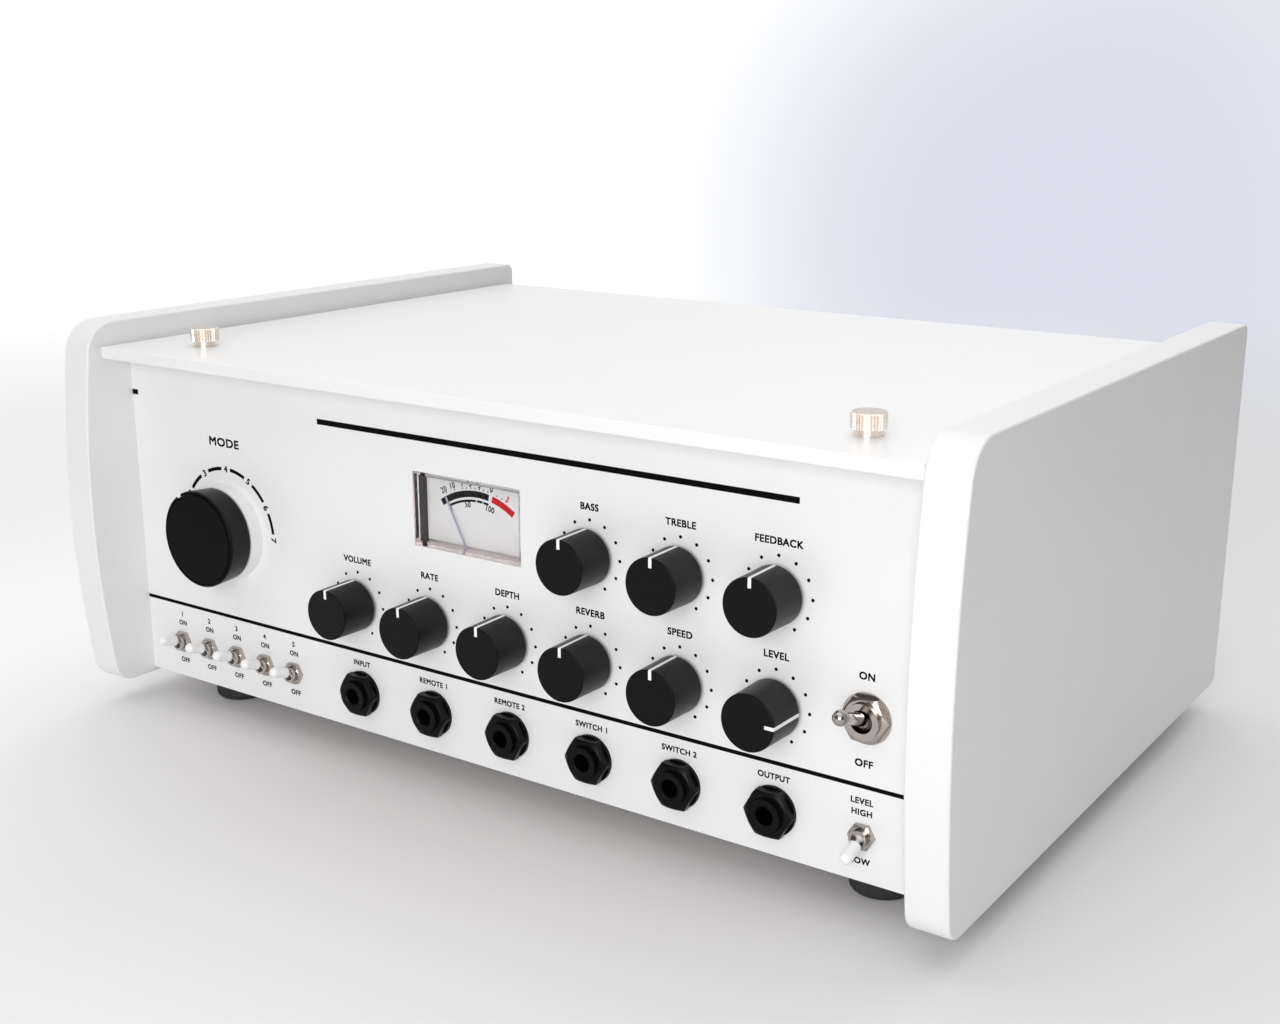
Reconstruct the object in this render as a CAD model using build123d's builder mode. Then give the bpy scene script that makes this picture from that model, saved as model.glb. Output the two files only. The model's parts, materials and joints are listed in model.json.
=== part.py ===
from build123d import *
import os
from math import cos, radians, sin

# Tape echo unit: a steel case between two painted wooden cheeks, with a control panel in
# front, a lift-off cover, and a tape transport and spring reverb inside.
# Millimetres. X runs to the player's right, Y away from the player, Z up.
# The origin is on the floor, under the middle of the cheeks.

# ---------------------------------------------------------------- driving dimensions
inner_w = 375.0          # clear width between the cheeks
cheek_t = 15.0
cheek_d = 280.5          # foremost line of the front edge to the back edge
cheek_h = 157.0
cheek_bulge = 6.5        # how far the front edge bows forward at mid height
cheek_top_r = 14.0       # front corner, top
cheek_low_r = 9.0        # front corner, bottom
cheek_back_r = 4.0       # back corners
cheek_edge_r = 0.9       # rounding of every cheek edge
floor_gap = 11.5         # cheeks' lower edge above the floor

sheet = 2.0              # steel sheet of the case
panel_t = 2.5            # front panel
panel_setback = 25.5     # panel face behind the cheeks' foremost line
panel_rise = 2.2         # case's lower face above the cheeks' lower edge
fold_w = 12.0            # folded flanges of the case
front_fold_w = 24.0      # upper flange of the front panel, which takes the thumbscrews
rear_setback = 15.5      # rear panel's outer face ahead of the cheeks' back edge

cover_drop = 9.7         # cover's top below the cheeks' top
cover_lip = 4.7          # height of its front and rear lips
cover_overhang = 15.5    # front lip ahead of the panel face
cover_tail = 8.0         # rear lip behind the rear panel
cover_side_gap = 2.0     # each end to its cheek
cover_seat = 0.2         # play between the cover and the case rim
cover_edge_r = 0.7

foot_r = 11.5
foot_recess_r = 5.0
foot_recess_d = 8.0
foot_edge_r = 2.5
foot_inset_x = 28.9      # foot centre inside the cheek's inner face
foot_inset_y = 22.0      # foot centre inside the front and rear panels

screw_r = 2.0            # M4 screws and thumbscrews
screw_head_r = 3.6
screw_head_h = 2.4
screw_head_taper = 0.6
screw_head_edge = 1.5    # upright edge of the head
screw_play = 0.1         # radial, in a plain hole
thread_play = 0.05       # radial, in a tapped hole
stack_gap = 0.02         # between stacked pieces of one fixing
blind_gap = 0.5          # hole deeper than what goes into it
fold_gap = 1.0           # between the ends of two panels' flanges
cheek_screw_grip = 12.0
cheek_screw_z = 19.0     # lower row above the case floor
cheek_screw_front = 6.0  # first screw behind the deck's front edge
cheek_screw_mid = 96.0   # second screw behind the deck's front edge
cheek_screw_rear = 13.0  # last screw ahead of the deck's back edge
fold_screw_side = 25.5   # right screw inside the end of its flange
fold_screw_pitch = 113.5
fold_screw_count = 3
fold_screw_grip = 5.5

thumb_side = 34.1        # thumbscrews inside the cheeks
thumb_inset = 9.5        # behind the panel's back face
thumb_r = 5.8
thumb_h = 7.5
thumb_edge = 0.5
thumb_collar_r = 4.8
thumb_collar_h = 2.2
thumb_reach = 8.0        # shank below the cover
thumb_boss_r = 4.0
thumb_boss_h = 7.0
knurl_count = 36
knurl_w = 0.5

# panel layout
switch_side = 24.9       # power switch and output-level switch inside the right cheek
mode_side = 55.5         # mode knob inside the left cheek
column_first = 72.9      # first column of small knobs beyond the mode knob
column_last = 33.35      # last column short of the switches
meter_side = 56.51       # meter's middle short of the fourth column
high_row_rise = 92.0     # rows above the panel's lower edge
low_row_rise = 53.3
jack_row_rise = 16.2
power_rise = 56.8
mode_rise = 71.3
meter_rise = 96.7

shaft_r = 3.0            # knob shafts
shaft_play = 0.05        # running fit in the bush
grip_play = 0.02         # knob, wheel or pulley on its shaft
end_play = 0.3           # along a shaft, and round loose moving parts
pot_r = 8.0
pot_h = 9.5
bush_r = 3.5
bush_out = 5.0           # bush ahead of the panel face
bush_bore_d = 6.0        # bore behind the panel
control_nut_af = 10.0
control_nut_t = 2.0
nut_chamfer = 0.35       # of a nut's thickness
nut_face = 0.47          # radius of a nut's flat face, of its width across flats
nut_corner = 0.6         # radius that clears a nut's corners, of its width across flats

knob_r = 10.15           # small knob, at its back
knob_front_r = 9.9
knob_d = 18.05           # front face ahead of the panel
knob_gap = 2.3
knob_edge_r = 0.4
knob_recess_r = 7.2
knob_wall = 3.4          # solid front of a knob ahead of its shaft
pointer_w = 1.3
pointer_depth = 0.45
pointer_len = 3.5        # on the front face
cut_over = 1.0           # a groove's cut beyond the edge that it leaves

mode_r = 20.15           # at its front
mode_back_r = 19.3
mode_d = 17.05
mode_edge_r = 1.1
mode_cap_r = 18.5        # flat front inside its groove
mode_groove_w = 0.4
mode_groove_d = 0.8
mode_recess_r = 9.2
mode_notch_w = 2.4
mode_notch_d = 1.2
mode_wall = 2.2
mode_angle = -30.0       # third of seven positions, 30 degrees apart
mode_can_r = 14.0
mode_can_h = 18.0
mode_bush_r = 4.5
mode_bush_out = 7.0
mode_nut_af = 14.0
mode_nut_t = 2.4
ring_r = 19.8            # white dial ring behind the mode knob
ring_front_r = 19.5
ring_h = 5.7
ring_bore_r = 10.0
ring_knob_gap = 0.8

jack_bore_r = 3.25       # takes a 6.35 mm plug
jack_bore_d = 31.0       # from the bush's mouth
jack_lead_in = 0.5
jack_bush_r = 6.0
jack_washer_r = 8.95
jack_washer_t = 1.3
jack_nut_af = 16.1
jack_nut_t = 3.5
jack_bush_over = 1.7     # bush ahead of its nut
jack_body_w = 18.0
jack_body_h = 20.0
jack_body_wall = 1.5     # behind the bore's end

mini_pitch = 17.1
mini_tilt = 18.0         # lever, either side of level
mini_bush_r = 3.1
mini_bush_out = 4.0
mini_bore_r = 2.2
mini_pivot_out = 0.8
mini_body_w = 8.0
mini_body_h = 12.5
mini_body_d = 10.0
mini_well_r = 2.7
mini_well_d = 6.0
mini_ball_r = 1.9
mini_neck_r = 0.9
mini_lever_r = 2.2
mini_lever_taper = 0.1
mini_lever_start = 4.5   # thick part, from the pivot
mini_lever_len = 12.7
mini_tail_len = 5.0
mini_pin_r = 0.5         # cross pin through the lever's ball
mini_pin_grip = 0.6      # hole in the bush's wall, each side
pin_play = 0.1
mini_nut_af = 8.3
mini_nut_t = 2.2

power_tilt = 20.0
power_bush_r = 6.0
power_bush_out = 4.2
power_bore_r = 3.9
power_pivot_out = 1.3
power_body_w = 17.5
power_body_h = 28.0
power_body_d = 20.0
power_well_r = 4.6
power_well_d = 7.0
power_ball_r = 3.5
power_lever_r = 2.3      # at the root
power_neck_r = 1.8
power_tip_r = 2.65
power_lever_len = 20.5   # pivot to the end of the tip
power_tail_len = 8.0
power_tail_r = 1.3
power_ball_flat = 1.05   # half the length of the ball's widest part
power_root = 3.15        # lever's root ahead of the pivot
power_pin_r = 0.9
power_pin_grip = 1.2
power_washer_r = 8.7
power_washer_t = 0.6
power_nut_af = 14.6
power_nut_t = 2.4

meter_w = 51.4           # window in the panel
meter_h = 28.8
meter_play = 0.2
lens_wall = 1.6
lens_face_t = 1.8
lens_d = 5.5
needle_back = 6.2        # needle's front face behind the panel face
needle_t = 0.4
needle_w = 0.6
needle_len = 31.0        # from its pivot
tail_gap = 0.6           # under the needle's tail, to the housing
needle_hub_r = 2.2
needle_shaft_r = 0.8
needle_shaft_d = 8.0
needle_play = 0.2        # radial, in its bearing
needle_drop = 23.0       # pivot below the window's middle
needle_offset = -0.7     # pivot beside the window's middle
needle_angle = -27.1
dial_back = 8.0
dial_t = 0.8
meter_wall = 2.0
meter_case_d = 26.0
meter_case_drop = 28.4   # its inside, below the window's middle
needle_tail = meter_case_drop - needle_drop - tail_gap
movement_r = 9.0
movement_gap = 1.0       # behind the dial

# tape deck
deck_drop = 44.6         # underside below the case rim
deck_t = 2.5
deck_front = 36.25       # behind the front panel
deck_rear = 4.75         # ahead of the rear panel
deck_fold_h = 15.0
tape_inset = 36.0        # line of tape past the heads, behind the deck's front edge
tape_t = 0.2
tape_w = 6.3
tape_rise = 3.0          # tape's lower edge above the deck
tape_side = 27.5         # left run of tape inside the case wall
tape_entry = 45.0        # tape's way out of the tank short of the capstan
tape_lead = 23.0         # right run of tape beyond the capstan
tape_return = 28.0       # tape's way back behind its line past the heads
fold_front = 20.0        # folds of tape inside the tank's front face
fold_back = 8.0
tank_fold_count = 13
fold_slack = 0.5         # each turn's radius short of half the pitch
guide_turn_r = 3.4       # tape round a guide
guide_r = 3.1
guide_flange_r = 4.2
guide_flange_t = 1.6
tank_margin_x = 8.0      # tank's outer face beyond the outermost tape
tank_front = 17.0        # behind the tape's way back
tank_rear = 15.0         # ahead of the deck's back edge
tank_wall = 3.0
tank_floor_t = 2.2
tank_h = 12.0
tank_lid_t = 2.0
slot_w = 4.0
head_w = 14.0
head_d = 12.0
head_h = 13.0
head_crown = 1.6
head_gap = 0.1
head_first = 33.0        # erase head beyond the left run of tape
head_second = 30.0       # record head beyond the erase head
head_last = 50.0         # last playback head short of the capstan
playback_heads = 4

capstan_r = 3.0
capstan_rise = 12.0      # above the deck
capstan_gap = 0.1
flywheel_r = 35.0
flywheel_t = 12.0
flywheel_drop = 6.7      # top face below the deck's underside
bearing_r = 6.0
bearing_flange_r = 9.0
bearing_flange_t = 1.5
bearing_gap = 0.5        # above the flywheel
flywheel_hub_r = 8.0
flywheel_rim_r = 27.0
flywheel_web_t = 5.0
roller_r = 8.0
roller_h = 8.5
roller_axle_r = 1.5
roller_head_r = 3.0
roller_head_t = 1.0
arm_rise = 11.6
arm_t = 2.5
arm_hub_r = 5.0
arm_w = 8.0
arm_side = 15.0          # pivot short of the solenoid
arm_lead = 17.0          # pivot beyond the right run of tape
arm_inset = 5.0          # pivot behind the line of tape
arm_tail = 22.0
arm_post_r = 4.0
arm_pin_r = 2.5
arm_pin_over = 1.0       # pin above the arm
solenoid_side = 1.5      # inside the case wall
solenoid_len = 34.0
solenoid_w = 24.0
solenoid_h = 25.0
plunger_r = 4.0
plunger_len = 47.0
plunger_lead = 4.0       # plunger's end beyond its pin
plunger_slot = 10.5
plunger_pin_r = 1.2
plunger_pin_inset = 0.5
arm_eye_r = 1.75

motor_spacing = 75.0     # motor's axis from the capstan's
motor_r = 19.0
motor_edge = 1.0
motor_gap = 1.7          # above the tallest part of the main board
motor_boss_r = 6.0
motor_boss_h = 1.5
motor_shaft_r = 1.6
motor_bore_d = 8.0
pulley_r = 6.0
pulley_flange_r = 7.5
pulley_flange_t = 1.2
pulley_side_gap = 0.3    # belt to flange
belt_w = 5.0
belt_t = 1.0
belt_gap = 0.15
bracket_drop = 28.0      # plate under the flywheel, below the deck
bracket_t = 2.5
bracket_margin = 34.0    # plate beyond the motor's axis
bracket_half_d = 31.0
bracket_end = 51.0       # plate beyond the capstan's axis
pillar_r = 4.0
pillar_inset = 6.0
thrust_cup_r = 6.0
thrust_cup_h = 3.0

# electronics and reverb
reverb_side = 10.5       # inside the left case wall
reverb_gap = 25.0        # short of the transformer
reverb_rear = 1.75       # short of the rear panel's flange
reverb_d = 86.0
reverb_h = 32.0
reverb_wall = 1.2
spring_r = 2.4
spring_bore_r = 1.7
spring_pitch = 20.0
spring_block = 16.0
transformer_side = 15.5  # inside the right case wall
transformer_rear = 2.75  # short of the rear panel's flange
transformer_r = 40.0
transformer_bore_r = 14.0
transformer_h = 34.0
coil_edge_r = 5.5
clamp_r = 26.0
clamp_t = 1.5
clamp_bolt_r = 3.0
clamp_head_r = 5.4
clamp_head_h = 3.0
board_t = 1.6
main_board_side = 45.5   # inside the right case wall
main_board_w = 180.0
main_board_front = 42.25 # behind the front panel
main_board_gap = 13.0    # short of the reverb tank
main_board_h = 6.0
standoff_r = 3.0
standoff_inset = 6.0
chip_w = 16.0
chip_d = 7.0
chip_h = 4.0
chip_side = 17.0         # outermost chips inside the board's edges
chip_front = 14.5
chip_columns = 6
chip_rows = 3
capacitor_r = 5.0
capacitor_h = 14.0
capacitor_pitch = 14.0
capacitor_side = 30.0    # middle one inside the board's right edge
capacitor_back = 8.0     # inside the board's back edge
control_gap = 2.0        # control board to the meter's case
inlet_side = 35.5        # inside the right case wall
inlet_rise = 66.3        # above the panel's lower edge
inlet_w = 24.0           # socket for a standard mains lead
inlet_h = 16.2
inlet_d = 21.0
inlet_wall = 1.8
inlet_flange_w = 32.0
inlet_flange_h = 24.0
inlet_flange_t = 2.0
inlet_pin_len = 16.0
inlet_pin_w = 2.0
inlet_pin_h = 4.0
inlet_pin_pitch = 7.0
inlet_pin_drop = 2.0     # outer pins below the middle, earth pin above

# ---------------------------------------------------------------- derived places
cheek_front = -cheek_d / 2
cheek_back = cheek_d / 2
cheek_bottom = floor_gap
cheek_top = cheek_bottom + cheek_h
cheek_mid = cheek_bottom + cheek_h / 2
side_x = inner_w / 2
wall_x = side_x - sheet
panel_y = cheek_front + panel_setback
panel_back = panel_y + panel_t
rear_y = cheek_back - rear_setback
rear_inside = rear_y - sheet
case_bottom = cheek_bottom + panel_rise
case_floor = case_bottom + sheet
cover_top = cheek_top - cover_drop
cover_under = cover_top - sheet
case_rim = cover_under - cover_seat
case_d = rear_inside - panel_back
fold_z = case_rim - sheet
fold_clear_x = wall_x - fold_w - fold_gap
thumb_x = side_x - thumb_side
thumb_y = panel_back + thumb_inset

high_row_z = case_bottom + high_row_rise
low_row_z = case_bottom + low_row_rise
jack_row_z = case_bottom + jack_row_rise
switch_x = side_x - switch_side
power_z = case_bottom + power_rise
mode_x = mode_side - side_x
mode_z = case_bottom + mode_rise
column_x = mode_x + column_first
column_pitch = (switch_x - column_last - column_x) / 5
columns = [column_x + k * column_pitch for k in range(6)]
meter_x = columns[3] - meter_side
meter_z = case_bottom + meter_rise
needle_x = meter_x + needle_offset
needle_z = meter_z - needle_drop

deck_z = case_rim - deck_drop
deck_front_y = panel_back + deck_front
deck_back_y = rear_inside - deck_rear
deck_top = deck_z + deck_t
foot_x = side_x - foot_inset_x
foot_front_y = panel_back + foot_inset_y
foot_back_y = rear_inside - foot_inset_y
cheek_screw_y = (deck_front_y + cheek_screw_front, deck_front_y + cheek_screw_mid,
                 deck_back_y - cheek_screw_rear)
cheek_screw_low = case_floor + cheek_screw_z
cheek_screw_high = deck_z - deck_fold_h / 2
fold_screw_x = [fold_clear_x - fold_screw_side - k * fold_screw_pitch for k in range(fold_screw_count)]

solenoid_x = wall_x - solenoid_side - solenoid_len
tape_y = deck_front_y + tape_inset
arm_pivot = (solenoid_x - arm_side, tape_y + arm_inset)
tape_left_x = tape_side - wall_x
tape_right_x = arm_pivot[0] - arm_lead
tape_turn_y = tape_y + tape_return
capstan_x = tape_right_x - tape_lead
tape_entry_x = capstan_x - tape_entry
tank_front_y = tape_turn_y + tank_front
tank_back_y = deck_back_y - tank_rear
record_head_x = tape_left_x + head_first + head_second
head_pitch = (capstan_x - head_last - record_head_x) / playback_heads
head_x = [tape_left_x + head_first] + [record_head_x + k * head_pitch for k in range(playback_heads + 1)]
capstan_y = tape_y + tape_t + capstan_gap + capstan_r
roller_y = tape_y - capstan_gap - roller_r
roller_z = deck_top + arm_rise - end_play - roller_h
flywheel_z = deck_z - flywheel_drop - flywheel_t
belt_z = flywheel_z + flywheel_t / 2 - belt_w / 2
pulley_z = belt_z - pulley_side_gap - pulley_flange_t
pulley_top = belt_z + belt_w + pulley_side_gap + pulley_flange_t
bracket_z = deck_z - bracket_drop
bracket_top = bracket_z + bracket_t
motor_x = capstan_x - motor_spacing
motor_h = bracket_z - case_floor - main_board_h - board_t - capacitor_h - motor_gap
plunger_z = deck_top + arm_rise + arm_t / 2
plunger_y = arm_pivot[1] + arm_tail

transformer_x = wall_x - transformer_side - transformer_r
transformer_y = rear_inside - fold_w - transformer_rear - transformer_r
reverb_left = reverb_side - wall_x
reverb_right = transformer_x - transformer_r - reverb_gap
reverb_x = (reverb_left + reverb_right) / 2
reverb_w = reverb_right - reverb_left
reverb_y = rear_inside - fold_w - reverb_rear - reverb_d / 2
main_board_x = wall_x - main_board_side - main_board_w / 2
main_board_low_y = panel_back + main_board_front
main_board_high_y = reverb_y - reverb_d / 2 - main_board_gap
main_board_y = (main_board_low_y + main_board_high_y) / 2
main_board_d = main_board_high_y - main_board_low_y
inlet_x = wall_x - inlet_side
inlet_z = case_bottom + inlet_rise

small_knobs = {
    "line_volume_knob": (columns[0], low_row_z, 0.0),
    "chorus_rate_knob": (columns[1], low_row_z, 0.0),
    "chorus_depth_knob": (columns[2], low_row_z, 0.0),
    "reverb_volume_knob": (columns[3], low_row_z, 0.0),
    "speed_knob": (columns[4], low_row_z, 0.0),
    "echo_volume_knob": (columns[5], low_row_z, 90.0),
    "bass_knob": (columns[3], high_row_z, 0.0),
    "treble_knob": (columns[4], high_row_z, 0.0),
    "feedback_knob": (columns[5], high_row_z, 0.0),
}
mini_names = ["direct_lever", "motor_lever", "sound_on_sound_lever", "echo_lever", "chorus_lever"]
mini_levers = {name: (mode_x + (k - 2) * mini_pitch, mini_tilt) for k, name in enumerate(mini_names)}
mini_levers["output_level_lever"] = (switch_x, -mini_tilt)
cheek_screw_spots = [(y, z) for y in cheek_screw_y for z in (cheek_screw_low, cheek_screw_high)]
fold_screw_y = (panel_back + fold_w / 2, rear_inside - fold_w / 2)
foot_spots = [(x, y) for x in (-foot_x, foot_x) for y in (foot_front_y, foot_back_y)]
bracket_left = motor_x - bracket_margin
bracket_right = capstan_x + bracket_end
pillar_half_d = bracket_half_d - pillar_inset
pillar_spots = [(x, y) for x in (bracket_left + pillar_inset, bracket_right - pillar_inset)
                for y in (capstan_y - pillar_half_d, capstan_y + pillar_half_d)]


# ---------------------------------------------------------------- helpers
def facing(y):
    """Plane at y that faces the player: local x is X, local y is Z, and it extrudes forward."""
    return Plane.XZ.offset(-y)


def along(origin, direction):
    """Plane whose local Y runs along direction, for turned outlines."""
    run = Vector(*direction).normalized()
    across = Vector(0, 0, 1) if abs(run.X) > 0.5 else Vector(1, 0, 0)
    return Plane(origin=origin, x_dir=across, z_dir=across.cross(run))


def on_panel(x, z):
    """Turning plane of a control: radius along local x, distance ahead of the panel along local y."""
    return along((x, panel_y, z), (0, -1, 0))


def turned(plane, *outline, mode=Mode.ADD):
    """Revolve an outline of (radius, distance) points about the plane's local Y axis."""
    with BuildSketch(plane) as section:
        with BuildLine():
            Polyline(*outline, close=True)
        make_face()
    revolve(section.sketch, axis=Axis(plane.origin, plane.y_dir), mode=mode)


def hex_nut(x, z, base, across_flats, thickness, bore_r):
    """Chamfered hexagon nut on the panel, its back face base ahead of the panel face."""
    with BuildPart() as nut:
        with BuildSketch(facing(panel_y - base)):
            with Locations((x, z)):
                RegularPolygon(across_flats / 2, 6, major_radius=False)
                Circle(bore_r, mode=Mode.SUBTRACT)
        extrude(amount=thickness)
        front = base + thickness
        corner = across_flats * nut_corner
        turned(on_panel(x, z), (0, base), (corner, base), (corner, front - nut_chamfer * thickness),
               (across_flats * nut_face, front), (0, front), mode=Mode.INTERSECT)
    return nut.part


def control_body(x, z, can_r, can_h, neck_r, neck_out):
    """Can behind the panel, threaded bush through it and bore for the shaft."""
    bore_r = shaft_r + shaft_play
    bore_end = -panel_t - bush_bore_d
    with BuildPart() as body:
        turned(on_panel(x, z), (0, -panel_t - can_h), (can_r, -panel_t - can_h), (can_r, -panel_t),
               (neck_r, -panel_t), (neck_r, neck_out), (bore_r, neck_out), (bore_r, bore_end), (0, bore_end))
    return body.part


def knob_shaft(x, z, end_out):
    """Shaft that turns in a control's bush and carries the knob."""
    start = -panel_t - bush_bore_d + end_play
    with BuildPart() as shaft:
        turned(on_panel(x, z), (0, start), (shaft_r, start), (shaft_r, end_out), (0, end_out))
    return shaft.part


def small_knob(x, z, angle):
    """Small knob with its pointer groove at angle, clockwise from the top, and its shaft."""
    seat = bush_out + end_play
    bore_end = knob_d - knob_wall
    shaft = knob_shaft(x, z, bore_end - end_play)
    with BuildPart() as knob:
        turned(on_panel(x, z), (knob_recess_r, knob_gap), (knob_r, knob_gap), (knob_front_r, knob_d),
               (0, knob_d), (0, bore_end), (shaft_r + grip_play, bore_end), (shaft_r + grip_play, seat),
               (knob_recess_r, seat))
        fillet(knob.edges().group_by(Axis.Y)[0], radius=knob_edge_r)
        turn = radians(angle)
        reach = knob_r + cut_over
        groove_floor = knob_front_r - pointer_depth
        for inner, back in ((groove_floor, knob_gap), (knob_front_r - pointer_len, knob_d - pointer_depth)):
            middle = (inner + reach) / 2
            with BuildSketch(facing(panel_y - back)):
                with Locations((x + middle * sin(turn), z + middle * cos(turn))):
                    Rectangle(pointer_w, reach - inner, rotation=-angle)
            extrude(amount=knob_d, mode=Mode.SUBTRACT)
        add(shaft)
    return knob


def toggle_plane(x, z, pivot_out, tilt):
    """Turning plane of a toggle lever: its pivot is behind the bush mouth, and tilt is upwards."""
    return along((x, panel_y - pivot_out, z), (0, -cos(radians(tilt)), sin(radians(tilt))))


def cross_pin(x, z, pivot_out, radius, half_length):
    """Pin along X through a toggle's pivot."""
    with BuildPart() as pin:
        with BuildSketch(Plane.YZ.offset(x - half_length)):
            with Locations((panel_y - pivot_out, z)):
                Circle(radius)
        extrude(amount=2 * half_length)
    return pin.part


def toggle_body(x, z, size, neck_r, neck_out, bore_r, well_r, well_d, pin_hole):
    """Toggle switch: box behind the panel, bush through it, bore, well and pin hole for the lever."""
    width, height, depth = size
    with BuildPart() as body:
        with BuildSketch(facing(panel_back)):
            with Locations((x, z)):
                Rectangle(width, height)
        extrude(amount=-depth)
        turned(on_panel(x, z), (0, -panel_t), (neck_r, -panel_t), (neck_r, neck_out), (0, neck_out))
        turned(on_panel(x, z), (0, neck_out), (bore_r, neck_out), (bore_r, -panel_t), (well_r, -panel_t),
               (well_r, -panel_t - well_d), (0, -panel_t - well_d), mode=Mode.SUBTRACT)
        add(pin_hole, mode=Mode.SUBTRACT)
    return body.part


def mini_lever(x, z, tilt):
    """White toggle lever with a round end, its pivot ball and its tail."""
    plane = toggle_plane(x, z, mini_pivot_out, tilt)
    pin = cross_pin(x, z, mini_pivot_out, mini_pin_r, mini_bore_r + mini_pin_grip - end_play)
    with BuildPart() as lever:
        turned(plane, (0, -mini_tail_len), (mini_neck_r, -mini_tail_len), (mini_neck_r, -mini_ball_r),
               (mini_ball_r, -mini_ball_r / 3), (mini_ball_r, mini_ball_r / 3), (mini_neck_r, mini_ball_r),
               (mini_neck_r, mini_lever_start), (mini_lever_r - mini_lever_taper, mini_lever_start),
               (mini_lever_r, mini_lever_len), (0, mini_lever_len))
        tip = lever.edges().sort_by(Axis(plane.origin, plane.y_dir))[-1]
        fillet(tip, radius=mini_lever_r - mini_lever_taper)
        add(pin)
    return lever


def screw(origin, direction, grip):
    """Pan-head screw: origin is under the head, and the shank runs along direction."""
    with BuildPart() as fastener:
        turned(along(origin, direction), (0, -screw_head_h),
               (screw_head_r - screw_head_taper, -screw_head_h), (screw_head_r, -screw_head_edge),
               (screw_head_r, 0), (screw_r, 0), (screw_r, grip), (0, grip))
    return fastener.part


os.makedirs("parts", exist_ok=True)


# ---------------------------------------------------------------- cheeks
def cheek(side):
    """Painted wooden end cheek; side is -1 for the left one and 1 for the right one."""
    edge_y = cheek_front + cheek_bulge
    with BuildPart() as board:
        with BuildSketch(Plane.YZ.offset(side * side_x)) as outline:
            with BuildLine():
                ThreePointArc((edge_y, cheek_bottom), (cheek_front, cheek_mid), (edge_y, cheek_top))
                Polyline((edge_y, cheek_top), (cheek_back, cheek_top), (cheek_back, cheek_bottom),
                         (edge_y, cheek_bottom))
            make_face()
            fillet(outline.vertices().sort_by(Axis.Y)[-2:].sort_by(Axis.X)[0], radius=cheek_top_r)
            fillet(outline.vertices().sort_by(Axis.Y)[:2].sort_by(Axis.X)[0], radius=cheek_low_r)
            fillet(outline.vertices().group_by(Axis.X)[-1], radius=cheek_back_r)
        extrude(amount=side * cheek_t)
        fillet(board.faces().filter_by(Axis.X).edges(), radius=cheek_edge_r)
        with BuildSketch(Plane.YZ.offset(side * side_x)):
            with Locations(*cheek_screw_spots):
                Circle(screw_r + thread_play)
        extrude(amount=side * (cheek_screw_grip - sheet + blind_gap), mode=Mode.SUBTRACT)
    return board


left_cheek = cheek(-1)
left_cheek.part.label = "left_cheek"
export_step(left_cheek.part, "parts/left_cheek.step")

right_cheek = cheek(1)
right_cheek.part.label = "right_cheek"
export_step(right_cheek.part, "parts/right_cheek.step")

# ---------------------------------------------------------------- chassis
# One folded sheet: floor, side walls and narrow flanges that carry the cover's ends.
with BuildPart() as chassis:
    with BuildSketch(facing(panel_back)):
        with Locations((0, (case_bottom + case_rim) / 2)):
            Rectangle(inner_w, case_rim - case_bottom)
            Rectangle(inner_w - 2 * sheet, case_rim - case_bottom - 2 * sheet, mode=Mode.SUBTRACT)
        with Locations((0, case_rim)):
            Rectangle(2 * (wall_x - fold_w), 3 * sheet, mode=Mode.SUBTRACT)
    extrude(amount=-case_d)
    with BuildSketch(Plane.YZ.offset(-side_x)):
        with Locations(*cheek_screw_spots):
            Circle(screw_r + screw_play)
    extrude(amount=inner_w, mode=Mode.SUBTRACT)
    with BuildSketch(Plane.XY.offset(case_bottom)):
        with Locations(*foot_spots, *[(x, y) for x in fold_screw_x for y in fold_screw_y]):
            Circle(screw_r + screw_play)
    extrude(amount=sheet, mode=Mode.SUBTRACT)
    with BuildSketch(Plane.XY.offset(case_floor)):
        with Locations((main_board_x, main_board_y)):
            with GridLocations(main_board_w - 2 * standoff_inset, main_board_d - 2 * standoff_inset, 2, 2):
                Circle(standoff_r)
    extrude(amount=main_board_h)
chassis.part.label = "chassis"
export_step(chassis.part, "parts/chassis.step")

# ---------------------------------------------------------------- front panel
panel_holes = ([(x, z, bush_r + screw_play) for x, z, _ in small_knobs.values()]
               + [(mode_x, mode_z, mode_bush_r + screw_play)]
               + [(x, jack_row_z, jack_bush_r + screw_play) for x in columns]
               + [(x, jack_row_z, mini_bush_r + screw_play) for x, _ in mini_levers.values()]
               + [(switch_x, power_z, power_bush_r + screw_play)])
with BuildPart() as front_panel:
    with BuildSketch(facing(panel_y)):
        with Locations((0, (case_bottom + case_rim) / 2)):
            Rectangle(inner_w, case_rim - case_bottom)
        with Locations((meter_x, meter_z)):
            Rectangle(meter_w, meter_h, mode=Mode.SUBTRACT)
        for x, z, r in panel_holes:
            with Locations((x, z)):
                Circle(r, mode=Mode.SUBTRACT)
    extrude(amount=-panel_t)
    with BuildSketch(Plane.XY.offset(case_floor)):
        with Locations((0, panel_back + fold_w / 2)):
            Rectangle(2 * fold_clear_x, fold_w)
        with Locations(*[(x, fold_screw_y[0]) for x in fold_screw_x]):
            Circle(screw_r + thread_play, mode=Mode.SUBTRACT)
    extrude(amount=sheet)
    with BuildSketch(Plane.XY.offset(fold_z)):
        with Locations((0, panel_back + front_fold_w / 2)):
            Rectangle(2 * fold_clear_x, front_fold_w)
    extrude(amount=sheet)
    with BuildSketch(Plane.XY.offset(case_rim - thumb_boss_h)):
        with Locations((-thumb_x, thumb_y), (thumb_x, thumb_y)):
            Circle(thumb_boss_r)
    extrude(amount=thumb_boss_h)
    with BuildSketch(Plane.XY.offset(case_rim)):
        with Locations((-thumb_x, thumb_y), (thumb_x, thumb_y)):
            Circle(screw_r + thread_play)
    extrude(amount=-thumb_reach - cover_seat, mode=Mode.SUBTRACT)
front_panel.part.label = "front_panel"
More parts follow.
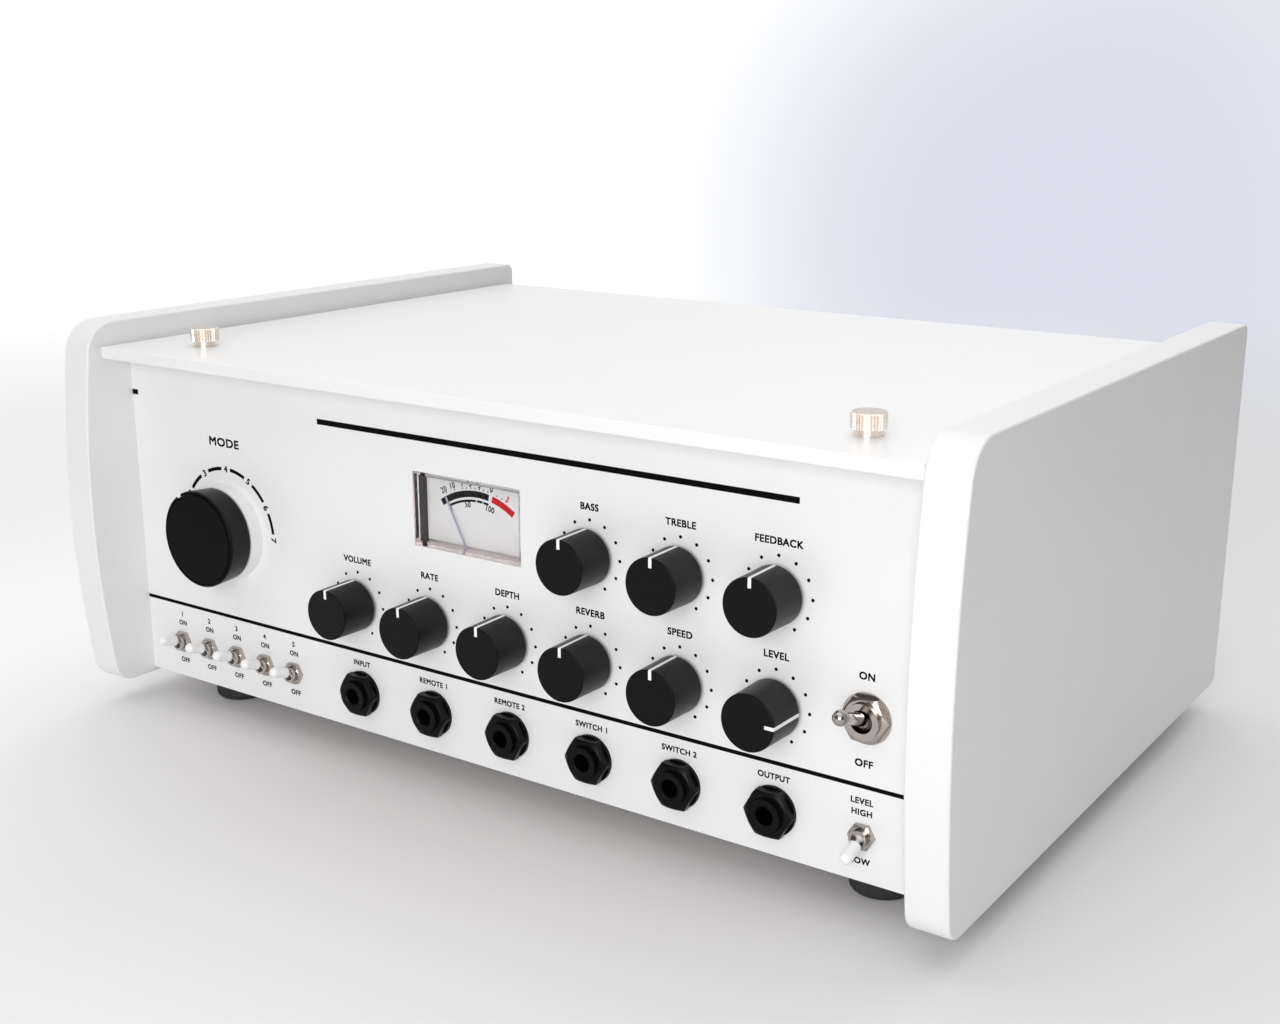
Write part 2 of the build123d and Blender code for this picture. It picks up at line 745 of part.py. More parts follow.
export_step(front_panel.part, "parts/front_panel.step")

# ---------------------------------------------------------------- rear panel
with BuildPart() as rear_panel:
    with BuildSketch(facing(rear_y)):
        with Locations((0, (case_bottom + case_rim) / 2)):
            Rectangle(inner_w, case_rim - case_bottom)
        with Locations((inlet_x, inlet_z)):
            Rectangle(inlet_w + 2 * inlet_wall + screw_play, inlet_h + 2 * inlet_wall + screw_play,
                      mode=Mode.SUBTRACT)
    extrude(amount=sheet)
    for z in (case_floor, fold_z):
        with BuildSketch(Plane.XY.offset(z)):
            with Locations((0, rear_inside - fold_w / 2)):
                Rectangle(2 * fold_clear_x, fold_w)
        extrude(amount=sheet)
    with BuildSketch(Plane.XY.offset(case_floor)):
        with Locations(*[(x, fold_screw_y[1]) for x in fold_screw_x]):
            Circle(screw_r + thread_play)
    extrude(amount=sheet, mode=Mode.SUBTRACT)
rear_panel.part.label = "rear_panel"
export_step(rear_panel.part, "parts/rear_panel.step")

# ---------------------------------------------------------------- feet and screws
with BuildPart() as rubber_feet:
    with BuildSketch():
        with Locations(*foot_spots):
            Circle(foot_r)
    extrude(amount=case_bottom)
    fillet(rubber_feet.edges().group_by(Axis.Z)[0], radius=foot_edge_r)
    with BuildSketch():
        with Locations(*foot_spots):
            Circle(foot_recess_r)
    extrude(amount=foot_recess_d, mode=Mode.SUBTRACT)
    with BuildSketch():
        with Locations(*foot_spots):
            Circle(screw_r + screw_play)
    extrude(amount=case_bottom, mode=Mode.SUBTRACT)
rubber_feet.part.label = "rubber_feet"
export_step(rubber_feet.part, "parts/rubber_feet.step")

screws = [screw((x, y, foot_recess_d), (0, 0, 1), case_floor - foot_recess_d) for x, y in foot_spots]
screws += [screw((x, y, case_bottom), (0, 0, 1), fold_screw_grip)
           for x in fold_screw_x for y in fold_screw_y]
for side in (-1, 1):
    for y in cheek_screw_y:
        screws.append(screw((side * wall_x, y, cheek_screw_low), (side, 0, 0), cheek_screw_grip))
        screws.append(screw((side * (wall_x - deck_t), y, cheek_screw_high), (side, 0, 0), cheek_screw_grip))
with BuildPart() as case_screws:
    add(screws)
case_screws.part.label = "case_screws"
export_step(case_screws.part, "parts/case_screws.step")

# ---------------------------------------------------------------- cover
cover_front = panel_y - cover_overhang
cover_back = rear_y + cover_tail
cover_w = inner_w - 2 * cover_side_gap
with BuildPart() as top_cover:
    with BuildSketch(Plane.XY.offset(cover_under)):
        with Locations((0, (cover_front + cover_back) / 2)):
            Rectangle(cover_w, cover_back - cover_front)
    extrude(amount=sheet)
    with BuildSketch(Plane.XY.offset(cover_top - cover_lip)):
        for y in (cover_front + sheet / 2, cover_back - sheet / 2):
            with Locations((0, y)):
                Rectangle(cover_w, sheet)
    extrude(amount=cover_lip)
    fillet(top_cover.edges().group_by(Axis.Z)[-1], radius=cover_edge_r)
    with BuildSketch(Plane.XY.offset(cover_under)):
        with Locations((-thumb_x, thumb_y), (thumb_x, thumb_y)):
            Circle(screw_r + screw_play)
    extrude(amount=sheet, mode=Mode.SUBTRACT)
top_cover.part.label = "top_cover"
export_step(top_cover.part, "parts/top_cover.step")

thumb_end = blind_gap - sheet - thumb_reach
for name, x in (("thumbscrew_left", -thumb_x), ("thumbscrew_right", thumb_x)):
    with BuildPart() as thumbscrew:
        turned(along((x, thumb_y, cover_top), (0, 0, 1)), (0, thumb_end), (screw_r, thumb_end),
               (screw_r, 0), (thumb_collar_r, 0), (thumb_collar_r, thumb_collar_h),
               (thumb_r, thumb_collar_h), (thumb_r, thumb_h - thumb_edge),
               (thumb_r - thumb_edge, thumb_h), (0, thumb_h))
        with BuildSketch(Plane.XY.offset(cover_top + thumb_collar_h)):
            with Locations((x, thumb_y)):
                with PolarLocations(thumb_r, knurl_count):
                    Rectangle(knurl_w, knurl_w, rotation=45)
        extrude(amount=thumb_h, mode=Mode.SUBTRACT)
    thumbscrew.part.label = name
    export_step(thumbscrew.part, f"parts/{name}.step")

# ---------------------------------------------------------------- small knobs
for name, (x, z, angle) in small_knobs.items():
    knob = small_knob(x, z, angle)
    knob.part.label = name
    export_step(knob.part, f"parts/{name}.step")

pots = [control_body(x, z, pot_r, pot_h, bush_r, bush_out) for x, z, _ in small_knobs.values()]
with BuildPart() as potentiometers:
    add(pots)
potentiometers.part.label = "potentiometers"
export_step(potentiometers.part, "parts/potentiometers.step")

# ---------------------------------------------------------------- mode knob
ring_gap_out = ring_h + ring_knob_gap
mode_seat = mode_bush_out + end_play
mode_bore_end = mode_d - mode_groove_d - mode_wall
mode_rim_r = mode_cap_r + mode_groove_w
mode_shaft = knob_shaft(mode_x, mode_z, mode_bore_end - end_play)
with BuildPart() as mode_knob:
    turned(on_panel(mode_x, mode_z), (mode_recess_r, ring_gap_out), (mode_back_r, ring_gap_out),
           (mode_r, mode_d), (mode_rim_r, mode_d), (mode_rim_r, mode_d - mode_groove_d),
           (mode_cap_r, mode_d - mode_groove_d), (mode_cap_r, mode_d), (0, mode_d), (0, mode_bore_end),
           (shaft_r + grip_play, mode_bore_end), (shaft_r + grip_play, mode_seat),
           (mode_recess_r, mode_seat))
    rim = mode_knob.edges().group_by(Axis.Y)[0].sort_by(SortBy.RADIUS)[-1]
    fillet(rim, radius=mode_edge_r)
    mode_turn = radians(mode_angle)
    notch_middle = (mode_cap_r + mode_r) / 2
    with BuildSketch(facing(panel_y - mode_d)):
        with Locations((mode_x + notch_middle * sin(mode_turn), mode_z + notch_middle * cos(mode_turn))):
            Rectangle(mode_notch_w, mode_r - mode_cap_r + 2 * cut_over, rotation=-mode_angle)
    extrude(amount=-mode_notch_d, mode=Mode.SUBTRACT)
    add(mode_shaft)
mode_knob.part.label = "mode_knob"
export_step(mode_knob.part, "parts/mode_knob.step")

with BuildPart() as mode_dial_ring:
    turned(on_panel(mode_x, mode_z), (ring_bore_r, 0), (ring_r, 0), (ring_front_r, ring_h),
           (ring_bore_r, ring_h))
mode_dial_ring.part.label = "mode_dial_ring"
export_step(mode_dial_ring.part, "parts/mode_dial_ring.step")

mode_body = control_body(mode_x, mode_z, mode_can_r, mode_can_h, mode_bush_r, mode_bush_out)
with BuildPart() as mode_switch:
    add(mode_body)
mode_switch.part.label = "mode_switch"
export_step(mode_switch.part, "parts/mode_switch.step")

# ---------------------------------------------------------------- jacks
jack_bush_out = jack_washer_t + jack_nut_t + jack_bush_over
with BuildPart() as jack_sockets:
    for x in columns:
        with BuildSketch(facing(panel_back)):
            with Locations((x, jack_row_z)):
                Rectangle(jack_body_w, jack_body_h)
        extrude(amount=-(jack_bore_d - jack_bush_out - panel_t + jack_body_wall))
        turned(on_panel(x, jack_row_z), (0, -panel_t), (jack_bush_r, -panel_t), (jack_bush_r, jack_bush_out),
               (0, jack_bush_out))
        turned(on_panel(x, jack_row_z), (0, jack_bush_out), (jack_bore_r + jack_lead_in, jack_bush_out),
               (jack_bore_r, jack_bush_out - jack_lead_in), (jack_bore_r, jack_bush_out - jack_bore_d),
               (0, jack_bush_out - jack_bore_d), mode=Mode.SUBTRACT)
jack_sockets.part.label = "jack_sockets"
export_step(jack_sockets.part, "parts/jack_sockets.step")

jack_rings = [hex_nut(x, jack_row_z, jack_washer_t + stack_gap, jack_nut_af, jack_nut_t - stack_gap,
                      jack_bush_r + thread_play) for x in columns]
with BuildPart() as jack_nuts:
    for x in columns:
        turned(on_panel(x, jack_row_z), (jack_bush_r + screw_play, 0), (jack_washer_r, 0),
               (jack_washer_r, jack_washer_t), (jack_bush_r + screw_play, jack_washer_t))
    add(jack_rings)
jack_nuts.part.label = "jack_nuts"
export_step(jack_nuts.part, "parts/jack_nuts.step")

# ---------------------------------------------------------------- toggle switches
mini_size = (mini_body_w, mini_body_h, mini_body_d)
mini_holes = [cross_pin(x, jack_row_z, mini_pivot_out, mini_pin_r + pin_play, mini_bore_r + mini_pin_grip)
              for x, _ in mini_levers.values()]
mini_bodies = [toggle_body(x, jack_row_z, mini_size, mini_bush_r, mini_bush_out, mini_bore_r,
                           mini_well_r, mini_well_d, hole)
               for (x, _), hole in zip(mini_levers.values(), mini_holes)]
with BuildPart() as mini_switches:
    add(mini_bodies)
mini_switches.part.label = "mini_switches"
export_step(mini_switches.part, "parts/mini_switches.step")

for name, (x, tilt) in mini_levers.items():
    lever = mini_lever(x, jack_row_z, tilt)
    lever.part.label = name
    export_step(lever.part, f"parts/{name}.step")

power_size = (power_body_w, power_body_h, power_body_d)
power_pin_half = power_bore_r + power_pin_grip
power_hole = cross_pin(switch_x, power_z, power_pivot_out, power_pin_r + pin_play, power_pin_half)
power_body = toggle_body(switch_x, power_z, power_size, power_bush_r, power_bush_out, power_bore_r,
                         power_well_r, power_well_d, power_hole)
with BuildPart() as power_switch:
    add(power_body)
power_switch.part.label = "power_switch"
export_step(power_switch.part, "parts/power_switch.step")

power_pin = cross_pin(switch_x, power_z, power_pivot_out, power_pin_r, power_pin_half - end_play)
power_plane = toggle_plane(switch_x, power_z, power_pivot_out, power_tilt)
with BuildPart() as power_lever:
    tip_centre = power_lever_len - power_tip_r
    turned(power_plane, (0, -power_tail_len), (power_tail_r, -power_tail_len), (power_tail_r, -power_ball_r),
           (power_ball_r, -power_ball_flat), (power_ball_r, power_ball_flat),
           (power_lever_r, power_root), (power_neck_r, tip_centre - power_tip_r),
           (power_neck_r, tip_centre), (0, tip_centre))
    with Locations(power_plane.origin + power_plane.y_dir * tip_centre):
        Sphere(power_tip_r)
    add(power_pin)
power_lever.part.label = "power_lever"
export_step(power_lever.part, "parts/power_lever.step")

# ---------------------------------------------------------------- nuts on the panel
nuts = [hex_nut(x, z, 0, control_nut_af, control_nut_t, bush_r + thread_play)
        for x, z, _ in small_knobs.values()]
nuts += [hex_nut(x, jack_row_z, 0, mini_nut_af, mini_nut_t, mini_bush_r + thread_play)
         for x, _ in mini_levers.values()]
nuts.append(hex_nut(mode_x, mode_z, 0, mode_nut_af, mode_nut_t, mode_bush_r + thread_play))
nuts.append(hex_nut(switch_x, power_z, power_washer_t + stack_gap, power_nut_af, power_nut_t - stack_gap,
                    power_bush_r + thread_play))
with BuildPart() as panel_nuts:
    turned(on_panel(switch_x, power_z), (power_bush_r + screw_play, 0), (power_washer_r, 0),
           (power_washer_r, power_washer_t), (power_bush_r + screw_play, power_washer_t))
    add(nuts)
panel_nuts.part.label = "panel_nuts"
export_step(panel_nuts.part, "parts/panel_nuts.step")

# ---------------------------------------------------------------- level meter
meter_bottom = meter_z - meter_case_drop
meter_inside_top = meter_z + meter_h / 2
meter_inside_h = meter_inside_top - meter_bottom
meter_inside_z = (meter_inside_top + meter_bottom) / 2
movement_y = panel_y + dial_back + dial_t + movement_gap
with BuildPart() as meter_lens:
    with BuildSketch(facing(panel_y)):
        with Locations((meter_x, meter_z)):
            Rectangle(meter_w - 2 * meter_play, meter_h - 2 * meter_play)
    extrude(amount=-lens_d)
    with BuildSketch(facing(panel_y + lens_face_t)):
        with Locations((meter_x, meter_z)):
            Rectangle(meter_w - 2 * meter_play - 2 * lens_wall, meter_h - 2 * meter_play - 2 * lens_wall)
    extrude(amount=-lens_d, mode=Mode.SUBTRACT)
meter_lens.part.label = "meter_lens"
export_step(meter_lens.part, "parts/meter_lens.step")

with BuildPart() as meter_housing:
    with BuildSketch(facing(panel_back)):
        with Locations((meter_x, meter_inside_z)):
            Rectangle(meter_w + 2 * meter_wall, meter_inside_h + 2 * meter_wall)
    extrude(amount=-meter_case_d)
    with BuildSketch(facing(panel_back)):
        with Locations((meter_x, meter_inside_z)):
            Rectangle(meter_w, meter_inside_h)
    extrude(amount=meter_wall - meter_case_d, mode=Mode.SUBTRACT)
    with BuildSketch(facing(movement_y)):
        with Locations((needle_x, needle_z)):
            Circle(min(movement_r, needle_z - meter_bottom))
            Circle(needle_shaft_r + needle_play, mode=Mode.SUBTRACT)
    extrude(amount=movement_y - panel_back - meter_case_d + meter_wall)
meter_housing.part.label = "meter_housing"
export_step(meter_housing.part, "parts/meter_housing.step")

with BuildPart() as meter_dial:
    with BuildSketch(facing(panel_y + dial_back)):
        with Locations((meter_x, meter_inside_z)):
            Rectangle(meter_w - 2 * meter_play, meter_inside_h - 2 * meter_play)
        with Locations((needle_x, needle_z)):
            Circle(needle_shaft_r + end_play, mode=Mode.SUBTRACT)
    extrude(amount=-dial_t)
meter_dial.part.label = "meter_dial"
export_step(meter_dial.part, "parts/meter_dial.step")

needle_turn = radians(needle_angle)
needle_reach = (needle_len - needle_tail) / 2
needle_middle = (needle_x + needle_reach * sin(needle_turn), needle_z + needle_reach * cos(needle_turn))
with BuildPart() as meter_needle:
    with BuildSketch(facing(panel_y + needle_back)):
        with Locations((needle_x, needle_z)):
            Circle(needle_hub_r)
        with Locations(needle_middle):
            Rectangle(needle_w, needle_len + needle_tail, rotation=-needle_angle)
    extrude(amount=-needle_t)
    with BuildSketch(facing(panel_y + needle_back)):
        with Locations((needle_x, needle_z)):
            Circle(needle_shaft_r)
    extrude(amount=-needle_shaft_d)
meter_needle.part.label = "meter_needle"
export_step(meter_needle.part, "parts/meter_needle.step")

# ---------------------------------------------------------------- deck plate
with BuildPart() as deck_plate:
    with BuildSketch(Plane.XY.offset(deck_z)):
        with Locations((0, (deck_front_y + deck_back_y) / 2)):
            Rectangle(2 * wall_x, deck_back_y - deck_front_y)
        with Locations((capstan_x, capstan_y)):
            Circle(bearing_r + stack_gap, mode=Mode.SUBTRACT)
    extrude(amount=deck_t)
    with BuildSketch(Plane.XY.offset(deck_z)):
        for side in (-1, 1):
            with Locations((side * (wall_x - deck_t / 2), (deck_front_y + deck_back_y) / 2)):
                Rectangle(deck_t, deck_back_y - deck_front_y)
    extrude(amount=-deck_fold_h)
    with BuildSketch(Plane.YZ.offset(-wall_x)):
        with Locations(*[(y, cheek_screw_high) for y in cheek_screw_y]):
            Circle(screw_r + screw_play)
    extrude(amount=2 * wall_x, mode=Mode.SUBTRACT)
    turned(along((*arm_pivot, deck_top), (0, 0, 1)), (0, 0), (arm_post_r, 0),
           (arm_post_r, arm_rise - end_play), (arm_pin_r, arm_rise - end_play),
           (arm_pin_r, arm_rise + arm_t + arm_pin_over), (0, arm_rise + arm_t + arm_pin_over))
deck_plate.part.label = "deck_plate"
export_step(deck_plate.part, "parts/deck_plate.step")

# ---------------------------------------------------------------- tape path
fold_pitch = (tape_entry_x - tape_left_x) / tank_fold_count
fold_r = fold_pitch / 2 - fold_slack
tape_points = [(tape_entry_x, tape_turn_y)]
for k in range(tank_fold_count):
    fold_x = tape_entry_x - k * fold_pitch
    fold_y = tank_back_y - fold_back if k % 2 == 0 else tank_front_y + fold_front
    tape_points += [(fold_x, fold_y), (fold_x - fold_pitch, fold_y)]
tape_points += [(tape_left_x, tape_y), (tape_right_x, tape_y), (tape_right_x, tape_turn_y)]
tape_radii = [guide_turn_r] + [fold_r] * (2 * tank_fold_count) + [guide_turn_r] * 3
with BuildPart() as tape_loop:
    with BuildSketch(Plane.XY.offset(deck_top + tape_rise)):
        with BuildLine():
            FilletPolyline(*tape_points, radius=tape_radii, close=True)
        make_face()
        offset(amount=-tape_t, mode=Mode.SUBTRACT)
    extrude(amount=tape_w)
tape_loop.part.label = "tape_loop"
export_step(tape_loop.part, "parts/tape_loop.step")

guide_low = tape_rise - end_play - guide_flange_t
guide_high = tape_rise + tape_w + end_play
guide_spots = [(tape_left_x + guide_turn_r, tape_y + guide_turn_r),
               (tape_right_x - guide_turn_r, tape_y + guide_turn_r),
               (tape_right_x - guide_turn_r, tape_turn_y - guide_turn_r),
               (tape_entry_x + guide_turn_r, tape_turn_y + guide_turn_r)]
with BuildPart() as tape_guides:
    for x, y in guide_spots:
        turned(along((x, y, deck_top), (0, 0, 1)), (0, 0), (guide_r, 0), (guide_r, guide_low),
               (guide_flange_r, guide_low), (guide_flange_r, guide_low + guide_flange_t),
               (guide_r, guide_low + guide_flange_t), (guide_r, guide_high), (guide_flange_r, guide_high),
               (guide_flange_r, guide_high + guide_flange_t), (0, guide_high + guide_flange_t))
tape_guides.part.label = "tape_guides"
export_step(tape_guides.part, "parts/tape_guides.step")

head_face = tape_y + tape_t + head_gap
with BuildPart() as tape_heads:
    with BuildSketch(Plane.XY.offset(deck_top)):
        for x in head_x:
            with BuildLine():
                ThreePointArc((x - head_w / 2, head_face + head_crown), (x, head_face),
                              (x + head_w / 2, head_face + head_crown))
                Polyline((x + head_w / 2, head_face + head_crown), (x + head_w / 2, head_face + head_d),
                         (x - head_w / 2, head_face + head_d), (x - head_w / 2, head_face + head_crown))
            make_face()
    extrude(amount=head_h)
tape_heads.part.label = "tape_heads"
export_step(tape_heads.part, "parts/tape_heads.step")

tank_left = tape_left_x - tank_margin_x
tank_right = tape_entry_x + tank_margin_x
tank_x = (tank_left + tank_right) / 2
tank_y = (tank_front_y + tank_back_y) / 2
tank_w = tank_right - tank_left
tank_d = tank_back_y - tank_front_y
with BuildPart() as tape_tank:
    with BuildSketch(Plane.XY.offset(deck_top)):
        with Locations((tank_x, tank_y)):
            Rectangle(tank_w, tank_d)
    extrude(amount=tank_h)
    with BuildSketch(Plane.XY.offset(deck_top + tank_floor_t)):
        with Locations((tank_x, tank_y)):
            Rectangle(tank_w - 2 * tank_wall, tank_d - 2 * tank_wall)
        with Locations((tape_left_x, tank_front_y), (tape_entry_x, tank_front_y)):
            Rectangle(slot_w, 2 * tank_wall + cut_over)
    extrude(amount=tank_h, mode=Mode.SUBTRACT)
tape_tank.part.label = "tape_tank"
export_step(tape_tank.part, "parts/tape_tank.step")

with BuildPart() as tape_tank_lid:
    with BuildSketch(Plane.XY.offset(deck_top + tank_h)):
        with Locations((tank_x, tank_y)):
            Rectangle(tank_w, tank_d)
    extrude(amount=tank_lid_t)
tape_tank_lid.part.label = "tape_tank_lid"
export_step(tape_tank_lid.part, "parts/tape_tank_lid.step")

# ---------------------------------------------------------------- capstan drive
bearing_low = flywheel_z + flywheel_t + bearing_gap
shaft_low = bracket_top + end_play
with BuildPart() as capstan_bearing:
    turned(along((capstan_x, capstan_y, 0), (0, 0, 1)), (capstan_r + shaft_play, bearing_low),
           (bearing_r, bearing_low), (bearing_r, deck_z - bearing_flange_t),
           (bearing_flange_r, deck_z - bearing_flange_t), (bearing_flange_r, deck_z), (bearing_r, deck_z),
           (bearing_r, deck_top), (capstan_r + shaft_play, deck_top))
capstan_bearing.part.label = "capstan_bearing"
export_step(capstan_bearing.part, "parts/capstan_bearing.step")

with BuildPart() as flywheel:
    web_low = flywheel_z + (flywheel_t - flywheel_web_t) / 2
    web_high = web_low + flywheel_web_t
    wheel_top = flywheel_z + flywheel_t
    axle = along((capstan_x, capstan_y, 0), (0, 0, 1))
    turned(axle, (capstan_r + grip_play, flywheel_z), (flywheel_hub_r, flywheel_z),
           (flywheel_hub_r, web_low),
           (flywheel_rim_r, web_low), (flywheel_rim_r, flywheel_z), (flywheel_r, flywheel_z),
           (flywheel_r, wheel_top), (flywheel_rim_r, wheel_top), (flywheel_rim_r, web_high),
           (flywheel_hub_r, web_high), (flywheel_hub_r, wheel_top), (capstan_r + grip_play, wheel_top))
    turned(axle, (0, shaft_low), (capstan_r, shaft_low), (capstan_r, deck_top + capstan_rise),
           (0, deck_top + capstan_rise))
flywheel.part.label = "flywheel"
export_step(flywheel.part, "parts/flywheel.step")

with BuildPart() as drive_motor:
    turned(along((motor_x, capstan_y, bracket_z), (0, 0, 1)), (0, -motor_h),
           (motor_r - motor_edge, -motor_h), (motor_r, motor_edge - motor_h), (motor_r, 0),
           (motor_boss_r, 0), (motor_boss_r, motor_boss_h),
           (motor_shaft_r + shaft_play, motor_boss_h), (motor_shaft_r + shaft_play, -motor_bore_d),
           (0, -motor_bore_d))
drive_motor.part.label = "drive_motor"
export_step(drive_motor.part, "parts/drive_motor.step")

with BuildPart() as motor_pulley:
    groove_low = pulley_z + pulley_flange_t
    groove_high = pulley_top - pulley_flange_t
    spindle = along((motor_x, capstan_y, 0), (0, 0, 1))
    turned(spindle, (motor_shaft_r + grip_play, pulley_z), (pulley_flange_r, pulley_z),
           (pulley_flange_r, groove_low), (pulley_r, groove_low), (pulley_r, groove_high),
           (pulley_flange_r, groove_high), (pulley_flange_r, pulley_top),
           (motor_shaft_r + grip_play, pulley_top))
    spindle_low = bracket_z - motor_bore_d + end_play
    turned(spindle, (0, spindle_low), (motor_shaft_r, spindle_low), (motor_shaft_r, pulley_top),
           (0, pulley_top))
motor_pulley.part.label = "motor_pulley"
export_step(motor_pulley.part, "parts/motor_pulley.step")

with BuildPart() as motor_bracket:
    with BuildSketch(Plane.XY.offset(bracket_z)):
        with Locations(((bracket_left + bracket_right) / 2, capstan_y)):
            Rectangle(bracket_right - bracket_left, 2 * bracket_half_d)
        with Locations((motor_x, capstan_y)):
            Circle(motor_boss_r + screw_play, mode=Mode.SUBTRACT)
    extrude(amount=bracket_t)
    with BuildSketch(Plane.XY.offset(bracket_top)):
        with Locations((capstan_x, capstan_y)):
            Circle(thrust_cup_r)
            Circle(capstan_r + shaft_play, mode=Mode.SUBTRACT)
    extrude(amount=thrust_cup_h)
    with BuildSketch(Plane.XY.offset(bracket_top)):
        with Locations(*pillar_spots):
            Circle(pillar_r)
    extrude(amount=deck_z - bracket_top)
motor_bracket.part.label = "motor_bracket"
export_step(motor_bracket.part, "parts/motor_bracket.step")

with BuildPart() as drive_belt:
    with BuildSketch(Plane.XY.offset(belt_z)):
        with Locations((capstan_x, capstan_y)):
            Circle(flywheel_r + belt_gap + belt_t)
        with Locations((motor_x, capstan_y)):
            Circle(pulley_r + belt_gap + belt_t)
        make_hull()
        offset(amount=-belt_t, mode=Mode.SUBTRACT)
    extrude(amount=belt_w)
drive_belt.part.label = "drive_belt"
export_step(drive_belt.part, "parts/drive_belt.step")

# ---------------------------------------------------------------- pinch roller and its arm
arm_z = deck_top + arm_rise
arm_spots = [(capstan_x, roller_y), (arm_pivot[0], plunger_y)]
axle_low = roller_z - end_play
with BuildPart() as pinch_arm:
    for end in arm_spots:
        with BuildSketch(Plane.XY.offset(arm_z)):
            with Locations(arm_pivot):
                Circle(arm_hub_r)
            with Locations(end):
                Circle(arm_w / 2)
            make_hull()
        extrude(amount=arm_t)
    with BuildSketch(Plane.XY.offset(arm_z)):
        with Locations(arm_pivot):
            Circle(arm_pin_r + shaft_play)
        with Locations(arm_spots[1]):
            Circle(arm_eye_r)
    extrude(amount=arm_t, mode=Mode.SUBTRACT)
    head_low = axle_low - roller_head_t
    turned(along((*arm_spots[0], 0), (0, 0, 1)), (0, arm_z), (roller_axle_r, arm_z),
           (roller_axle_r, axle_low), (roller_head_r, axle_low), (roller_head_r, head_low), (0, head_low))
pinch_arm.part.label = "pinch_arm"
export_step(pinch_arm.part, "parts/pinch_arm.step")

with BuildPart() as pinch_roller:
    with BuildSketch(Plane.XY.offset(roller_z)):
        with Locations(arm_spots[0]):
            Circle(roller_r)
            Circle(roller_axle_r + shaft_play, mode=Mode.SUBTRACT)
    extrude(amount=roller_h)
pinch_roller.part.label = "pinch_roller"
export_step(pinch_roller.part, "parts/pinch_roller.step")

plunger_start = arm_pivot[0] - plunger_lead
with BuildPart() as solenoid_plunger:
    with BuildSketch(Plane.YZ.offset(plunger_start)):
        with Locations((plunger_y, plunger_z)):
            Circle(plunger_r)
    extrude(amount=plunger_len)
    with BuildSketch(Plane.XY.offset(arm_z - end_play)):
        with Locations((plunger_start + plunger_slot / 2, plunger_y)):
            Rectangle(plunger_slot, 3 * plunger_r)
    extrude(amount=arm_t + 2 * end_play, mode=Mode.SUBTRACT)
    with BuildSketch(Plane.XY.offset(plunger_z - plunger_r + plunger_pin_inset)):
        with Locations(arm_spots[1]):
            Circle(plunger_pin_r)
    extrude(amount=2 * (plunger_r - plunger_pin_inset))
solenoid_plunger.part.label = "solenoid_plunger"
export_step(solenoid_plunger.part, "parts/solenoid_plunger.step")

with BuildPart() as solenoid:
    with BuildSketch(Plane.YZ.offset(solenoid_x)):
        with Locations((plunger_y, deck_top + solenoid_h / 2)):
            Rectangle(solenoid_w, solenoid_h)
        with Locations((plunger_y, plunger_z)):
            Circle(plunger_r + end_play, mode=Mode.SUBTRACT)
    extrude(amount=solenoid_len)
solenoid.part.label = "solenoid"
export_step(solenoid.part, "parts/solenoid.step")

# ---------------------------------------------------------------- spring reverb
with BuildPart() as reverb_tank:
    with BuildSketch(Plane.XY.offset(case_floor)):
        with Locations((reverb_x, reverb_y)):
            Rectangle(reverb_w, reverb_d)
    extrude(amount=reverb_h)
    with BuildSketch(Plane.XY.offset(case_floor + reverb_wall)):
        with Locations((reverb_x, reverb_y)):
            Rectangle(reverb_w - 2 * reverb_wall, reverb_d - 2 * reverb_wall)
    extrude(amount=reverb_h, mode=Mode.SUBTRACT)
    block_x = reverb_w / 2 - reverb_wall - spring_block / 2
    with BuildSketch(Plane.XY.offset(case_floor + reverb_wall)):
        with Locations((reverb_x - block_x, reverb_y), (reverb_x + block_x, reverb_y)):
            Rectangle(spring_block, spring_pitch + 3 * spring_block)
    extrude(amount=reverb_h / 2 + spring_block / 2)
reverb_tank.part.label = "reverb_tank"
export_step(reverb_tank.part, "parts/reverb_tank.step")

spring_start = reverb_x - block_x + spring_block / 2
spring_len = 2 * block_x - spring_block
with BuildPart() as reverb_springs:
    with BuildSketch(Plane.YZ.offset(spring_start)):
        for side in (-1, 1):
            with Locations((reverb_y + side * spring_pitch / 2, case_floor + reverb_h / 2)):
                Circle(spring_r)
                Circle(spring_bore_r, mode=Mode.SUBTRACT)
    extrude(amount=spring_len)
reverb_springs.part.label = "reverb_springs"
export_step(reverb_springs.part, "parts/reverb_springs.step")

# ---------------------------------------------------------------- power transformer
with BuildPart() as power_transformer:
    core = along((transformer_x, transformer_y, case_floor), (0, 0, 1))
    with BuildSketch(Plane.XY.offset(case_floor)):
        with Locations((transformer_x, transformer_y)):
            Circle(transformer_r)
            Circle(transformer_bore_r, mode=Mode.SUBTRACT)
    extrude(amount=transformer_h)
    fillet(power_transformer.edges(), radius=coil_edge_r)
    clamp_z = transformer_h + stack_gap
    turned(core, (clamp_bolt_r + screw_play, clamp_z), (clamp_r, clamp_z), (clamp_r, clamp_z + clamp_t),
           (clamp_bolt_r + screw_play, clamp_z + clamp_t))
    bolt_z = clamp_z + clamp_t + stack_gap
    turned(core, (0, 0), (clamp_bolt_r, 0), (clamp_bolt_r, bolt_z), (clamp_head_r, bolt_z),
           (clamp_head_r, bolt_z + clamp_head_h), (0, bolt_z + clamp_head_h))
power_transformer.part.label = "power_transformer"
export_step(power_transformer.part, "parts/power_transformer.step")

